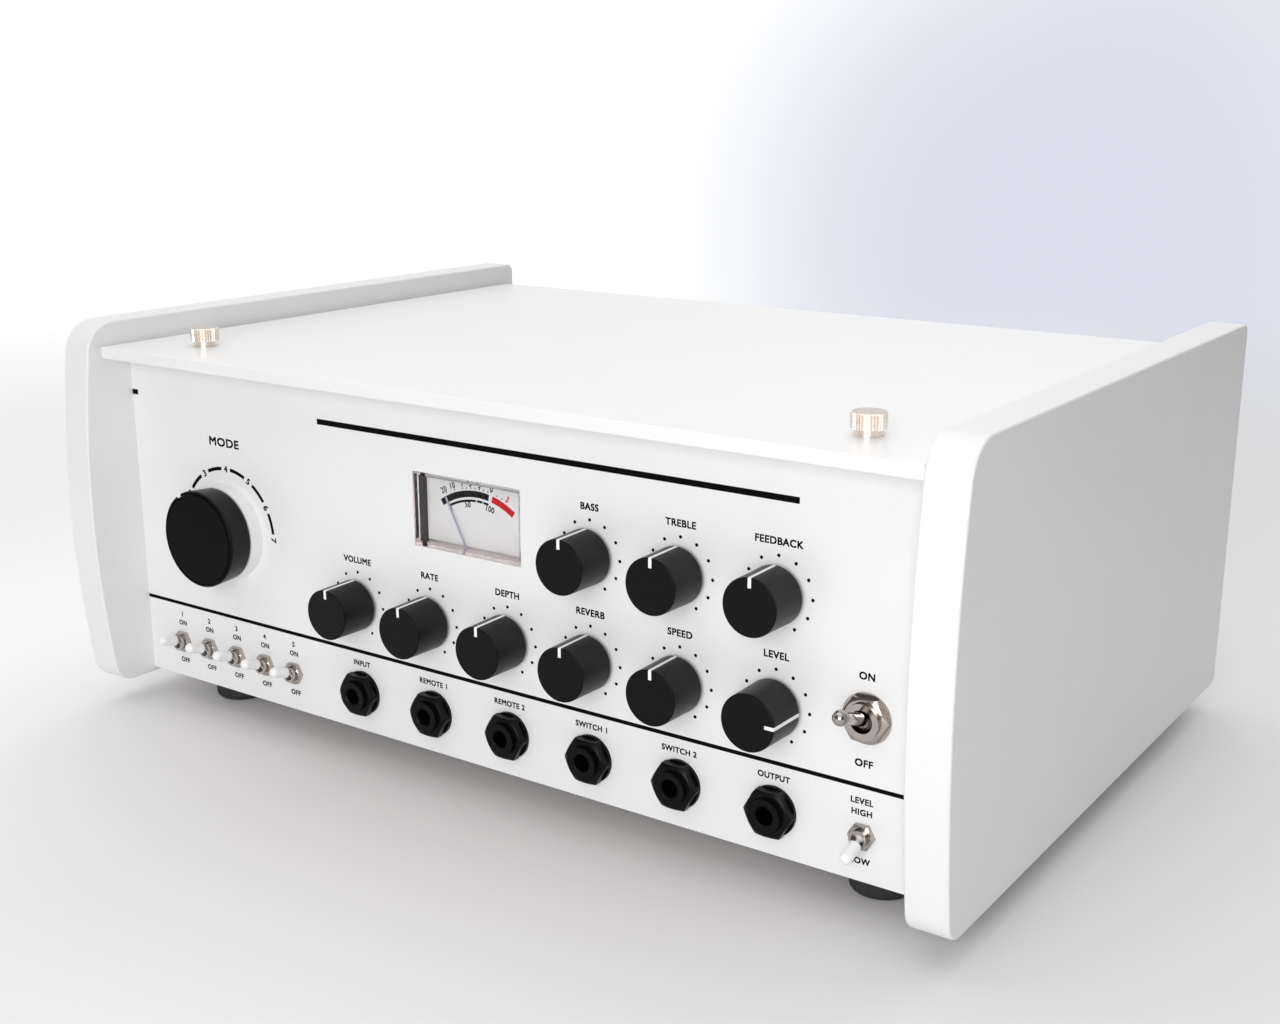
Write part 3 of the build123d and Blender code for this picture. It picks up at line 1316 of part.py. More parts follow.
# ---------------------------------------------------------------- circuit boards
control_y = panel_back + pot_h
control_low = low_row_z - 1.5 * pot_r
control_split = meter_bottom - meter_wall - control_gap
control_left = columns[0] - 2 * pot_r
control_right = columns[5] + 2 * pot_r
control_meter = meter_x + meter_w / 2 + meter_wall + control_gap
control_top = high_row_z + 1.5 * pot_r
board_z = case_floor + main_board_h
chip_pitch = (main_board_w - 2 * chip_side - chip_w) / (chip_columns - 1)
chip_row_pitch = (main_board_d - 2 * chip_front - chip_d) / (chip_rows - 1)
capacitor_x = main_board_x + main_board_w / 2 - capacitor_side
with BuildPart() as circuit_boards:
    with BuildSketch(facing(control_y)):
        with Locations(((control_left + control_right) / 2, (control_low + control_split) / 2)):
            Rectangle(control_right - control_left, control_split - control_low)
        with Locations(((control_meter + control_right) / 2, (control_split + control_top) / 2)):
            Rectangle(control_right - control_meter, control_top - control_split)
    extrude(amount=-board_t)
    with BuildSketch(Plane.XY.offset(board_z)):
        with Locations((main_board_x, main_board_y)):
            Rectangle(main_board_w, main_board_d)
    extrude(amount=board_t)
    with BuildSketch(Plane.XY.offset(board_z + board_t)):
        with Locations((main_board_x, main_board_y)):
            with GridLocations(chip_pitch, chip_row_pitch, chip_columns, chip_rows):
                Rectangle(chip_w, chip_d)
    extrude(amount=chip_h)
    with BuildSketch(Plane.XY.offset(board_z + board_t)):
        with Locations((capacitor_x, main_board_high_y - capacitor_back)):
            with GridLocations(capacitor_pitch, 0, 3, 1):
                Circle(capacitor_r)
    extrude(amount=capacitor_h)
circuit_boards.part.label = "circuit_boards"
export_step(circuit_boards.part, "parts/circuit_boards.step")

# ---------------------------------------------------------------- mains inlet
inlet_face = rear_y + inlet_flange_t
inlet_well = inlet_face - inlet_d
with BuildPart() as mains_inlet:
    with BuildSketch(facing(rear_y)):
        with Locations((inlet_x, inlet_z)):
            Rectangle(inlet_flange_w, inlet_flange_h)
    extrude(amount=-inlet_flange_t)
    with BuildSketch(facing(rear_y)):
        with Locations((inlet_x, inlet_z)):
            Rectangle(inlet_w + 2 * inlet_wall, inlet_h + 2 * inlet_wall)
    extrude(amount=rear_y - inlet_well + inlet_wall)
    with BuildSketch(facing(inlet_well)):
        with Locations((inlet_x, inlet_z)):
            Rectangle(inlet_w, inlet_h)
    extrude(amount=-inlet_d, mode=Mode.SUBTRACT)
    with BuildSketch(facing(inlet_well)):
        with Locations((inlet_x - inlet_pin_pitch, inlet_z - inlet_pin_drop),
                       (inlet_x, inlet_z + inlet_pin_drop),
                       (inlet_x + inlet_pin_pitch, inlet_z - inlet_pin_drop)):
            Rectangle(inlet_pin_w, inlet_pin_h)
    extrude(amount=-inlet_pin_len)
mains_inlet.part.label = "mains_inlet"
export_step(mains_inlet.part, "parts/mains_inlet.step")
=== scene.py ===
import json
import math

import bmesh
import bpy
from mathutils import Matrix, Vector


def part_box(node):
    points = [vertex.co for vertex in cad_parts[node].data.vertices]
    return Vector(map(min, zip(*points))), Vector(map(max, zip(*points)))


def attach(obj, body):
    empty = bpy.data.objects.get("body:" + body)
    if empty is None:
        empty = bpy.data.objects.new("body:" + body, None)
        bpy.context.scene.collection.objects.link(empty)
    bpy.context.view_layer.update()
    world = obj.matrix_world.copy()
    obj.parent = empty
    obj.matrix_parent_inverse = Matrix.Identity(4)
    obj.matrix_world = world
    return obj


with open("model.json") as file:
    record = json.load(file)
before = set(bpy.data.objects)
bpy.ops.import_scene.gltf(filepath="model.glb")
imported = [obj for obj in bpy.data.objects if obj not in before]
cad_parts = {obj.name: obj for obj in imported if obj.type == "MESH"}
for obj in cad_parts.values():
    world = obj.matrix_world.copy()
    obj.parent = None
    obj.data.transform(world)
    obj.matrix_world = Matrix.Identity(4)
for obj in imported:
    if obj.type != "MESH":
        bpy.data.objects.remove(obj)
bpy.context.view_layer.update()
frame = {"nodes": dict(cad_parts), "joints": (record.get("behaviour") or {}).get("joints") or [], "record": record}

# Tape echo unit: finishes, printed marks, stage and camera round the CAD frame.
# Lengths are millimetres unless a name or comment says metres; MM turns them into metres.
# Ahead means forwards of the front panel's face. Angles are degrees clockwise from the top.
MM = 0.001

# ---------------------------------------------------------------- places taken from the frame
panel_low, panel_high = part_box("front_panel")
PANEL_Y = panel_low.y / MM
PANEL_LEFT = panel_low.x / MM
PANEL_RIGHT = panel_high.x / MM
THUMB_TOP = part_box("thumbscrew_right")[1].z / MM


def ahead(node_name):
    """How far the front of a node lies ahead of the panel."""
    return PANEL_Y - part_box(node_name)[0].y / MM


def crossing(thing):
    """Where the axis of a joint or a mount crosses the panel, as x and z."""
    return thing["pos_m"][0] / MM, thing["pos_m"][2] / MM


axes = {joint["child"]: crossing(joint) for joint in frame["joints"] if joint["type"] == "hinge"}
jacks = {mount["name"]: crossing(mount) for mount in frame["record"]["mounts"] if mount["kind"] == "bore"}

# ---------------------------------------------------------------- controls
LOW_WORD_Z = 84.7
HIGH_WORD_Z = 123.2
# Each small knob: the word above it, that word's height, and where its pointer stands.
small_knobs = {
    "line_volume_knob": ("VOLUME", LOW_WORD_Z, 0.0),
    "chorus_rate_knob": ("RATE", LOW_WORD_Z, 0.0),
    "chorus_depth_knob": ("DEPTH", LOW_WORD_Z, 0.0),
    "reverb_volume_knob": ("REVERB", LOW_WORD_Z, 0.0),
    "speed_knob": ("SPEED", LOW_WORD_Z, 0.0),
    "echo_volume_knob": ("LEVEL", LOW_WORD_Z, 90.0),
    "bass_knob": ("BASS", HIGH_WORD_Z, 0.0),
    "treble_knob": ("TREBLE", HIGH_WORD_Z, 0.0),
    "feedback_knob": ("FEEDBACK", HIGH_WORD_Z, 0.0),
}
jack_words = {
    "line_input_jack": "INPUT",
    "remote_speed_jack": "REMOTE 1",
    "remote_feedback_jack": "REMOTE 2",
    "chorus_cancel_jack": "SWITCH 1",
    "echo_reverb_cancel_jack": "SWITCH 2",
    "output_jack": "OUTPUT",
}
mini_levers = ["direct_lever", "motor_lever", "sound_on_sound_lever", "echo_lever", "chorus_lever"]

# Small knob, as in the CAD: its taper, the gap behind it, and the groove of its pointer.
KNOB_BACK_R = 10.15
KNOB_FRONT_R = 9.9
KNOB_GAP = 2.3
KNOB_EDGE_R = 0.4
KNOB_FACE = ahead("bass_knob")
POINTER_W = 1.3
POINTER_DEPTH = 0.45
POINTER_LEN = 3.5

# Mode knob, as in the CAD: its rim, the groove round its flat front, and the notch in the rim.
MODE_R = 20.15
MODE_CAP_R = 18.5
MODE_GROOVE_W = 0.4
MODE_NOTCH_W = 2.4
MODE_NOTCH_DEPTH = 1.2
MODE_ANGLE = -30.0
MODE_FACE = ahead("mode_knob")

# ---------------------------------------------------------------- camera, solved from the panel's controls
CAMERA_PLACE = (0.37736, -0.54765, 0.26524)  # metres
CAMERA_TILT = 75.08
CAMERA_HEADING = 34.92
CAMERA_LENS = 45.59
SENSOR_WIDTH = 36.0


def add_camera():
    """The camera of the reference view, with a plain display transform."""
    data = bpy.data.cameras.new("camera")
    data.sensor_fit = "HORIZONTAL"
    data.sensor_width = SENSOR_WIDTH
    data.lens = CAMERA_LENS
    data.clip_start = 0.01
    data.clip_end = 100.0
    camera = bpy.data.objects.new("camera", data)
    camera.location = CAMERA_PLACE
    camera.rotation_euler = (math.radians(CAMERA_TILT), 0.0, math.radians(CAMERA_HEADING))
    bpy.context.scene.collection.objects.link(camera)
    bpy.context.scene.camera = camera
    bpy.context.scene.view_settings.view_transform = "Standard"


add_camera()


# ---------------------------------------------------------------- material helpers
def node(tree, kind, **sockets):
    """A new node with its named input sockets set."""
    made = tree.nodes.new(kind)
    for name, value in sockets.items():
        made.inputs[name.replace("_", " ")].default_value = value
    return made


def start(name):
    """A material with one Principled shader, its tree and the shader."""
    made = bpy.data.materials.new(name)
    made.use_nodes = True
    tree = made.node_tree
    tree.nodes.clear()
    shader = tree.nodes.new("ShaderNodeBsdfPrincipled")
    output = tree.nodes.new("ShaderNodeOutputMaterial")
    tree.links.new(shader.outputs["BSDF"], output.inputs["Surface"])
    return made, tree, shader


def place_socket(tree):
    """The shaded point's place in the frame, in metres."""
    return tree.nodes.new("ShaderNodeTexCoord").outputs["Object"]


def place_parts(tree):
    """The X, Y and Z of the shaded point's place, in metres."""
    parts = tree.nodes.new("ShaderNodeSeparateXYZ")
    tree.links.new(place_socket(tree), parts.inputs["Vector"])
    return parts.outputs


def noise(tree, size, detail=2.0, stretch=(1.0, 1.0, 1.0)):
    """Noise with features of about size millimetres, drawn out along an axis where stretch is small."""
    mapping = node(tree, "ShaderNodeMapping", Scale=stretch)
    texture = node(tree, "ShaderNodeTexNoise", Scale=1.0 / (size * MM), Detail=detail)
    tree.links.new(place_socket(tree), mapping.inputs["Vector"])
    tree.links.new(mapping.outputs["Vector"], texture.inputs["Vector"])
    return texture.outputs["Fac"]


def ramp(tree, factor, low, high, low_at=0.0, high_at=1.0):
    """Colour that runs from low to high as the factor passes from low_at to high_at."""
    made = tree.nodes.new("ShaderNodeValToRGB")
    made.color_ramp.elements[0].position = low_at
    made.color_ramp.elements[1].position = high_at
    made.color_ramp.elements[0].color = (*low, 1.0)
    made.color_ramp.elements[1].color = (*high, 1.0)
    tree.links.new(factor, made.inputs["Fac"])
    return made.outputs["Color"]


def blotches(tree, factor, low, high):
    """Colour that runs from low to high over the middle range of a noise."""
    return ramp(tree, factor, low, high, 0.35, 0.65)


def passage(tree, value, begin, end, first=0.0, last=1.0, smooth=False):
    """Value that runs from first to last as another one passes from begin to end."""
    made = node(tree, "ShaderNodeMapRange", From_Min=begin, From_Max=end, To_Min=first, To_Max=last)
    if smooth:
        made.interpolation_type = "SMOOTHSTEP"
    tree.links.new(value, made.inputs["Value"])
    return made.outputs["Result"]


def spread(tree, factor, low, high):
    """Value that runs from low to high over the middle range of a noise."""
    return passage(tree, factor, 0.3, 0.7, low, high)


def bump(tree, shader, height, depth):
    """Relief of about depth millimetres from a height factor."""
    made = node(tree, "ShaderNodeBump", Strength=1.0, Distance=depth * MM)
    tree.links.new(height, made.inputs["Height"])
    tree.links.new(made.outputs["Normal"], shader.inputs["Normal"])


def finish_of(name, low, high, rough, grain, relief, blotch=30.0, stretch=(1.0, 1.0, 1.0), **constants):
    """A finish: colour in blotches from low to high, roughness in a range, and a fine grain's relief."""
    made, tree, shader = start(name)
    for socket, value in constants.items():
        shader.inputs[socket.replace("_", " ")].default_value = value
    wide = noise(tree, blotch, 3.0, stretch)
    fine = noise(tree, grain, 2.0, stretch)
    tree.links.new(blotches(tree, wide, low, high), shader.inputs["Base Color"])
    tree.links.new(spread(tree, fine, *rough), shader.inputs["Roughness"])
    bump(tree, shader, fine, relief)
    return made


def grey(value):
    """Linear grey."""
    return (value, value, value)


def lighter(colour, step):
    """A colour raised by a step, within the range of colours."""
    return tuple(min(1.0, part + step) for part in colour)


# ---------------------------------------------------------------- finishes seen from outside
cheek_paint = finish_of("cheek_paint", grey(0.81), grey(0.82), rough=(0.44, 0.54), grain=0.6, relief=0.045)
panel_paint = finish_of("panel_paint", grey(0.83), grey(0.84), rough=(0.36, 0.42), grain=2.0, relief=0.0004)
cover_paint = finish_of("cover_paint", grey(0.84), grey(0.85), rough=(0.35, 0.39), grain=3.0, relief=0.0004)
ring_white = finish_of("ring_white", grey(0.84), grey(0.87), rough=(0.3, 0.38), grain=0.5, relief=0.002)
lever_white = finish_of("lever_white", grey(0.86), grey(0.9), rough=(0.18, 0.26), grain=0.5, relief=0.001,
                        blotch=4.0)
pointer_white = finish_of("pointer_white", grey(0.84), grey(0.88), rough=(0.4, 0.5), grain=0.3,
                          relief=0.003, blotch=3.0)
jack_black = finish_of("jack_black", grey(0.002), grey(0.003), rough=(0.3, 0.38), grain=0.3, relief=0.002,
                       blotch=6.0, Specular_IOR_Level=0.12)
ink_black = finish_of("ink_black", grey(0.003), grey(0.005), rough=(0.5, 0.6), grain=0.2, relief=0.001,
                      blotch=5.0, Specular_IOR_Level=0.02)
dial_ink_black = finish_of("dial_ink_black", grey(0.001), grey(0.002), rough=(0.5, 0.6), grain=0.2,
                           relief=0.001, blotch=5.0, Specular_IOR_Level=0.0)
dial_ink_red = finish_of("dial_ink_red", (0.7, 0.008, 0.012), (0.76, 0.012, 0.016), rough=(0.5, 0.6),
                         grain=0.2, relief=0.001, blotch=5.0, Specular_IOR_Level=0.0)
# The paper glows faintly: painted light in place of the light that the lens keeps from the dial.
dial_paper = finish_of("dial_paper", (0.84, 0.83, 0.82), (0.88, 0.87, 0.86), rough=(0.6, 0.75), grain=0.15,
                       relief=0.001, blotch=12.0, Emission_Color=(1.0, 0.98, 0.97, 1.0),
                       Emission_Strength=0.11)
meter_body = finish_of("meter_body", grey(0.02), grey(0.028), rough=(0.4, 0.5), grain=0.4, relief=0.01)
needle_metal = finish_of("needle_metal", (0.46, 0.47, 0.62), (0.52, 0.53, 0.68), rough=(0.35, 0.45),
                         grain=0.3, relief=0.001, blotch=4.0)
nickel = finish_of("nickel", (0.42, 0.385, 0.355), (0.48, 0.44, 0.41), rough=(0.09, 0.15), grain=0.6,
                   relief=0.002, blotch=5.0, Metallic=1.0)
foot_rubber = finish_of("foot_rubber", grey(0.018), grey(0.026), rough=(0.62, 0.78), grain=0.4, relief=0.02,
                        blotch=5.0)
case_steel = finish_of("case_steel", grey(0.78), grey(0.81), rough=(0.4, 0.5), grain=0.5, relief=0.006)
inlet_black = finish_of("inlet_black", grey(0.014), grey(0.02), rough=(0.32, 0.45), grain=0.4, relief=0.008,
                        blotch=5.0)

# ---------------------------------------------------------------- finishes inside the case
zinc_screws = finish_of("zinc_screws", (0.56, 0.57, 0.58), (0.66, 0.66, 0.64), rough=(0.22, 0.34),
                        grain=0.5, relief=0.006, blotch=4.0, Metallic=1.0)
pot_metal = finish_of("pot_metal", (0.5, 0.51, 0.52), (0.6, 0.6, 0.6), rough=(0.25, 0.4), grain=0.5,
                      relief=0.01, blotch=6.0, Metallic=1.0)
deck_aluminium = finish_of("deck_aluminium", (0.66, 0.67, 0.68), (0.74, 0.74, 0.74), rough=(0.28, 0.42),
                           grain=0.8, relief=0.006, blotch=20.0, stretch=(0.05, 1.0, 1.0), Metallic=1.0)
head_steel = finish_of("head_steel", (0.5, 0.5, 0.51), (0.62, 0.62, 0.62), rough=(0.12, 0.22), grain=0.5,
                       relief=0.003, blotch=6.0, stretch=(1.0, 1.0, 0.1), Metallic=1.0)
tape_brown = finish_of("tape_brown", (0.055, 0.026, 0.014), (0.075, 0.036, 0.02), rough=(0.28, 0.4),
                       grain=0.6, relief=0.004, blotch=10.0)
tank_plastic = finish_of("tank_plastic", grey(0.03), grey(0.045), rough=(0.35, 0.5), grain=0.5, relief=0.01)
steel_turned = finish_of("steel_turned", (0.5, 0.51, 0.52), (0.6, 0.6, 0.61), rough=(0.14, 0.26),
                         grain=0.25, relief=0.004, blotch=5.0, stretch=(1.0, 1.0, 0.2), Metallic=1.0)
bronze = finish_of("bronze", (0.42, 0.24, 0.1), (0.52, 0.31, 0.14), rough=(0.25, 0.38), grain=0.5,
                   relief=0.006, blotch=4.0, Metallic=1.0)
motor_can = finish_of("motor_can", (0.36, 0.37, 0.38), (0.44, 0.44, 0.45), rough=(0.25, 0.36), grain=0.6,
                      relief=0.006, blotch=8.0, Metallic=1.0)
belt_rubber = finish_of("belt_rubber", grey(0.012), grey(0.018), rough=(0.55, 0.7), grain=0.4, relief=0.01,
                        blotch=5.0)
brass_turned = finish_of("brass_turned", (0.62, 0.44, 0.16), (0.72, 0.53, 0.22), rough=(0.16, 0.28),
                         grain=0.25, relief=0.004, blotch=4.0, Metallic=1.0)
roller_rubber = finish_of("roller_rubber", grey(0.015), grey(0.022), rough=(0.5, 0.65), grain=0.3,
                          relief=0.008, blotch=4.0)
coil = finish_of("coil", (0.012, 0.03, 0.09), (0.018, 0.045, 0.12), rough=(0.35, 0.5), grain=0.4,
                 relief=0.02, blotch=5.0, stretch=(1.0, 0.2, 1.0))
tank_steel = finish_of("tank_steel", (0.48, 0.49, 0.5), (0.58, 0.58, 0.58), rough=(0.3, 0.45), grain=0.8,
                       relief=0.01, blotch=12.0, Metallic=1.0)
transformer_wrap = finish_of("transformer_wrap", (0.5, 0.36, 0.08), (0.6, 0.44, 0.12), rough=(0.25, 0.4),
                             grain=1.2, relief=0.03, blotch=8.0, stretch=(1.0, 1.0, 0.3))
board_green = finish_of("board_green", (0.012, 0.09, 0.035), (0.018, 0.13, 0.05), rough=(0.25, 0.4),
                        grain=0.8, relief=0.01, blotch=6.0)

# ---------------------------------------------------------------- finishes that change over a piece
CLEAR_IOR = 1.2
REFRACTION_BAND_FADE = 0.4
BUSH_DEPTH = 2.5
FINE_GRAIN_RELIEF = 0.002


def clear(name, tint):
    """Clear plastic with an anti-glare coat, hence its low IOR, and the faintest streaks in its gloss."""
    made, tree, shader = start(name)
    shader.inputs["Transmission Weight"].default_value = 1.0
    shader.inputs["IOR"].default_value = CLEAR_IOR
    streaks = noise(tree, 20.0, 2.0, (1.0, 1.0, 0.2))
    tree.links.new(blotches(tree, streaks, tint, lighter(tint, 0.01)), shader.inputs["Base Color"])
    tree.links.new(spread(tree, streaks, 0.0, 0.03), shader.inputs["Roughness"])
    return made


def painted_refraction_edges(name, node_name, wall, middle, edge):
    """Clear plastic with a painted reddish band within wall millimetres of a node's left and lower edges: painted
    refraction in place of the bands that its walls throw.
    """
    made = clear(name, middle)
    tree = made.node_tree
    shader = tree.nodes["Principled BSDF"]
    low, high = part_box(node_name)
    parts = place_parts(tree)
    nearer = tree.nodes.new("ShaderNodeMath")
    nearer.operation = "MAXIMUM"
    for socket, axis, begin in ((0, "X", low.x), (1, "Z", low.z)):
        near = passage(tree, parts[axis], begin + (wall + REFRACTION_BAND_FADE) * MM, begin + wall * MM)
        tree.links.new(near, nearer.inputs[socket])
    # The edge colour is painted refraction, laid over the clear tint near the left and lower edges.
    tree.links.new(ramp(tree, nearer.outputs["Value"], middle, edge), shader.inputs["Base Color"])
    return made


def two_parts(name, front, back, front_rough, back_rough):
    """Bright metal ahead of and inside the panel, and the moulded body behind it."""
    made, tree, shader = start(name)
    in_front = tree.nodes.new("ShaderNodeMath")
    in_front.operation = "LESS_THAN"
    in_front.inputs[1].default_value = (PANEL_Y + BUSH_DEPTH) * MM
    tree.links.new(place_parts(tree)["Y"], in_front.inputs[0])
    factor = in_front.outputs["Value"]
    fine = noise(tree, 0.6)
    colour = tree.nodes.new("ShaderNodeMix")
    colour.data_type = "RGBA"
    tree.links.new(factor, colour.inputs["Factor"])
    tree.links.new(blotches(tree, fine, back, grey(back[0] * 1.2)), colour.inputs["A"])
    tree.links.new(blotches(tree, fine, front, lighter(front, 0.03)), colour.inputs["B"])
    tree.links.new(colour.outputs["Result"], shader.inputs["Base Color"])
    tree.links.new(factor, shader.inputs["Metallic"])
    rough = node(tree, "ShaderNodeMix", A=back_rough, B=front_rough)
    tree.links.new(factor, rough.inputs["Factor"])
    tree.links.new(rough.outputs["Result"], shader.inputs["Roughness"])
    bump(tree, shader, fine, FINE_GRAIN_RELIEF)
    return made


def turned_knob(name, face, face_gloss):
    """Black moulding with a flat face some distance ahead, and a side a little glossier than the face."""
    made, tree, shader = start(name)
    face_y = (PANEL_Y - face) * MM
    side = passage(tree, place_parts(tree)["Y"], face_y + 0.1 * MM, face_y + 1.0 * MM)
    # The side's colour is painted a little lighter than the face's: a painted sheen beside the side's real, higher
    # gloss.
    tree.links.new(ramp(tree, side, grey(0.0015), grey(0.005)), shader.inputs["Base Color"])
    tree.links.new(passage(tree, side, 0.0, 1.0, face_gloss, 0.21), shader.inputs["Specular IOR Level"])
    fine = noise(tree, 0.25)
    tree.links.new(spread(tree, fine, 0.32, 0.4), shader.inputs["Roughness"])
    bump(tree, shader, fine, FINE_GRAIN_RELIEF)
    return made


def plated_screw(name, top):
    """Warm plating with soft reflections, and a darker, browner top face at a height: painted shade on the same
    plating.
    """
    made, tree, shader = start(name)
    shader.inputs["Metallic"].default_value = 1.0
    # Painted shade: the plating is drawn darker and browner on the top face.
    height = passage(tree, place_parts(tree)["Z"], (top - 0.15) * MM, top * MM)
    colour = ramp(tree, height, (0.92, 0.80, 0.72), (0.46, 0.40, 0.37), 0.2, 0.9)
    tree.links.new(colour, shader.inputs["Base Color"])
    fine = noise(tree, 0.5)
    tree.links.new(spread(tree, fine, 0.26, 0.32), shader.inputs["Roughness"])
    bump(tree, shader, fine, FINE_GRAIN_RELIEF)
    return made


clear_plastic = clear("clear_plastic", (0.95, 0.95, 0.96))
# The meter window's reddish left and lower edges are a painted refraction band.
meter_window = painted_refraction_edges("meter_window", "meter_lens", 0.5, (0.96, 0.96, 0.965), (0.93, 0.74, 0.74))
thumbscrew_metal = plated_screw("thumbscrew_metal", THUMB_TOP)
knob_black = turned_knob("knob_black", KNOB_FACE, 0.15)
mode_black = turned_knob("mode_black", MODE_FACE, 0.06)
switch_body = two_parts("switch_body", (0.46, 0.42, 0.39), (0.02, 0.02, 0.022), 0.11, 0.45)

finishes = {
    cheek_paint: ["left_cheek", "right_cheek"],
    case_steel: ["chassis", "rear_panel"],
    panel_paint: ["front_panel"],
    cover_paint: ["top_cover"],
    foot_rubber: ["rubber_feet"],
    thumbscrew_metal: ["thumbscrew_left", "thumbscrew_right"],
    knob_black: list(small_knobs),
    mode_black: ["mode_knob"],
    ring_white: ["mode_dial_ring"],
    switch_body: ["mode_switch", "mini_switches", "power_switch"],
    pot_metal: ["potentiometers"],
    nickel: ["panel_nuts", "power_lever"],
    jack_black: ["jack_sockets", "jack_nuts"],
    lever_white: [*mini_levers, "output_level_lever"],
    meter_body: ["meter_housing"],
    dial_paper: ["meter_dial"],
    needle_metal: ["meter_needle"],
    clear_plastic: ["tape_tank_lid"],
    meter_window: ["meter_lens"],
    deck_aluminium: ["deck_plate", "motor_bracket"],
    head_steel: ["tape_heads"],
    steel_turned: ["tape_guides", "flywheel", "solenoid_plunger"],
    tank_plastic: ["tape_tank"],
    tape_brown: ["tape_loop"],
    bronze: ["capstan_bearing"],
    motor_can: ["drive_motor"],
    brass_turned: ["motor_pulley"],
    belt_rubber: ["drive_belt"],
    zinc_screws: ["case_screws", "pinch_arm", "reverb_springs"],
    roller_rubber: ["pinch_roller"],
    coil: ["solenoid"],
    tank_steel: ["reverb_tank"],
    transformer_wrap: ["power_transformer"],
    board_green: ["circuit_boards"],
    inlet_black: ["mains_inlet"],
}
for paint, names in finishes.items():
    for name in names:
        mesh = frame["nodes"][name].data
        mesh.materials.clear()
        mesh.materials.append(paint)


# ---------------------------------------------------------------- building helpers
def piece(name, bm, paint, body):
    """Turn a bmesh in millimetres into a named piece that rides on a body."""
    bmesh.ops.recalc_face_normals(bm, faces=bm.faces)
    bmesh.ops.scale(bm, vec=(MM, MM, MM), verts=bm.verts)
    mesh = bpy.data.meshes.new(name)
    bm.to_mesh(mesh)
    bm.free()
    made = bpy.data.objects.new(name, mesh)
    bpy.context.scene.collection.objects.link(made)
    mesh.materials.append(paint)
    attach(made, body)
    return made


def turned(centre, reach, aside, angle):
    """Point at a reach out from a centre (x, z) and a distance aside, both turned by an angle."""
    turn = math.radians(angle)
    return (centre[0] + reach * math.sin(turn) + aside * math.cos(turn),
            centre[1] + reach * math.cos(turn) - aside * math.sin(turn))


def polar(centre, radius, angle):
    """Point at a radius and an angle from a centre (x, z)."""
    return turned(centre, radius, 0.0, angle)


def slab(bm, near, far):
    """Solid between two rings with the same number of points."""
    near_ring = [bm.verts.new(point) for point in near]
    far_ring = [bm.verts.new(point) for point in far]
    bm.faces.new(near_ring)
    bm.faces.new(list(reversed(far_ring)))
    for k in range(len(near_ring)):
        following = (k + 1) % len(near_ring)
        bm.faces.new((near_ring[k], far_ring[k], far_ring[following], near_ring[following]))


def prism(bm, outline, layer):
    """Solid with an outline of (x, z) points. A layer is its back and front, ahead of the panel."""
    back, front = layer
    slab(bm, [(x, PANEL_Y - front, z) for x, z in outline], [(x, PANEL_Y - back, z) for x, z in outline])


def sector(bm, centre, radius, width, first, last, layer, step=2.0):
    """Raised arc of a circle about a middle radius, made of short straight steps."""
    count = max(1, round((last - first) / step))
    angles = [first + (last - first) * k / count for k in range(count + 1)]
    outline = [polar(centre, radius + width / 2, angle) for angle in angles]
    outline += [polar(centre, radius - width / 2, angle) for angle in reversed(angles)]
    prism(bm, outline, layer)


def disc(bm, centre, radius, layer, count=16):
    """Raised round dot."""
    prism(bm, [polar(centre, radius, 360.0 * k / count) for k in range(count)], layer)


def bar(bm, left, right, middle, height, layer):
    """Raised straight stripe."""
    low = middle - height / 2
    high = middle + height / 2
    prism(bm, [(left, low), (right, low), (right, high), (left, high)], layer)


# ---------------------------------------------------------------- lettering helpers
LETTER_SPACING = 1.08
CURVE_STEPS = 5
COPY_STEP = 0.004


def glyphs(text):
    """Mesh of some text in the font's own units, 1 thick."""
    curve = bpy.data.curves.new("glyphs", "FONT")
    curve.body = text
    curve.extrude = 0.5
    curve.space_character = LETTER_SPACING
    curve.resolution_u = CURVE_STEPS
    holder = bpy.data.objects.new("glyphs", curve)
    bpy.context.scene.collection.objects.link(holder)
    bpy.context.view_layer.update()
    shaped = holder.evaluated_get(bpy.context.evaluated_depsgraph_get())
    mesh = bpy.data.meshes.new_from_object(shaped)
    bpy.data.objects.remove(holder)
    bpy.data.curves.remove(curve)
    return mesh


def letter_height():
    """Height of a capital letter in the font's own units."""
    mesh = glyphs("H")
    heights = [vertex.co.y for vertex in mesh.vertices]
    bpy.data.meshes.remove(mesh)
    return max(heights) - min(heights)


CAPITAL = letter_height()


def plain_word(bm, text, x, z, capital, layer, squeeze, turn):
    """Raised lettering centred on (x, z), with capitals of a given height."""
    back, front = layer
    mesh = glyphs(text)
    xs = [vertex.co.x for vertex in mesh.vertices]
    ys = [vertex.co.y for vertex in mesh.vertices]
    middle = Vector(((min(xs) + max(xs)) / 2, (min(ys) + max(ys)) / 2, 0.0))
    size = capital / CAPITAL
    mesh.transform(Matrix.Translation(-middle))
    mesh.transform(Matrix.Diagonal((size * squeeze, size, front - back, 1.0)))
    mesh.transform(Matrix.Rotation(math.radians(-turn), 4, "Z"))
    mesh.transform(Matrix.Rotation(math.radians(90.0), 4, "X"))
    mesh.transform(Matrix.Translation((x, PANEL_Y - (front + back) / 2, z)))
    bm.from_mesh(mesh)
    bpy.data.meshes.remove(mesh)


def word(bm, text, x, z, capital, layer, squeeze=1.02, bold=0.048, turn=0.0):
    """Raised lettering with bolder strokes: four copies a hair apart, each ending at its own depth."""
    back, front = layer
    hair = bold * capital
    for k, (aside, above) in enumerate(((-hair, -hair), (hair, -hair), (-hair, hair), (hair, hair))):
        copy_layer = (back, front - COPY_STEP * k)
        plain_word(bm, text, x + aside, z + above, capital, copy_layer, squeeze, turn)


# ---------------------------------------------------------------- printing on the panel
PANEL_INK = (-0.01, 0.04)
STRIPE_Z = 137.6
STRIPE_H = 2.2
STRIPE_LEFT = -77.4
STRIPE_RIGHT = 136.4
STUB_RIGHT = -184.1
LINE_Z = 47.0
LINE_H = 1.5


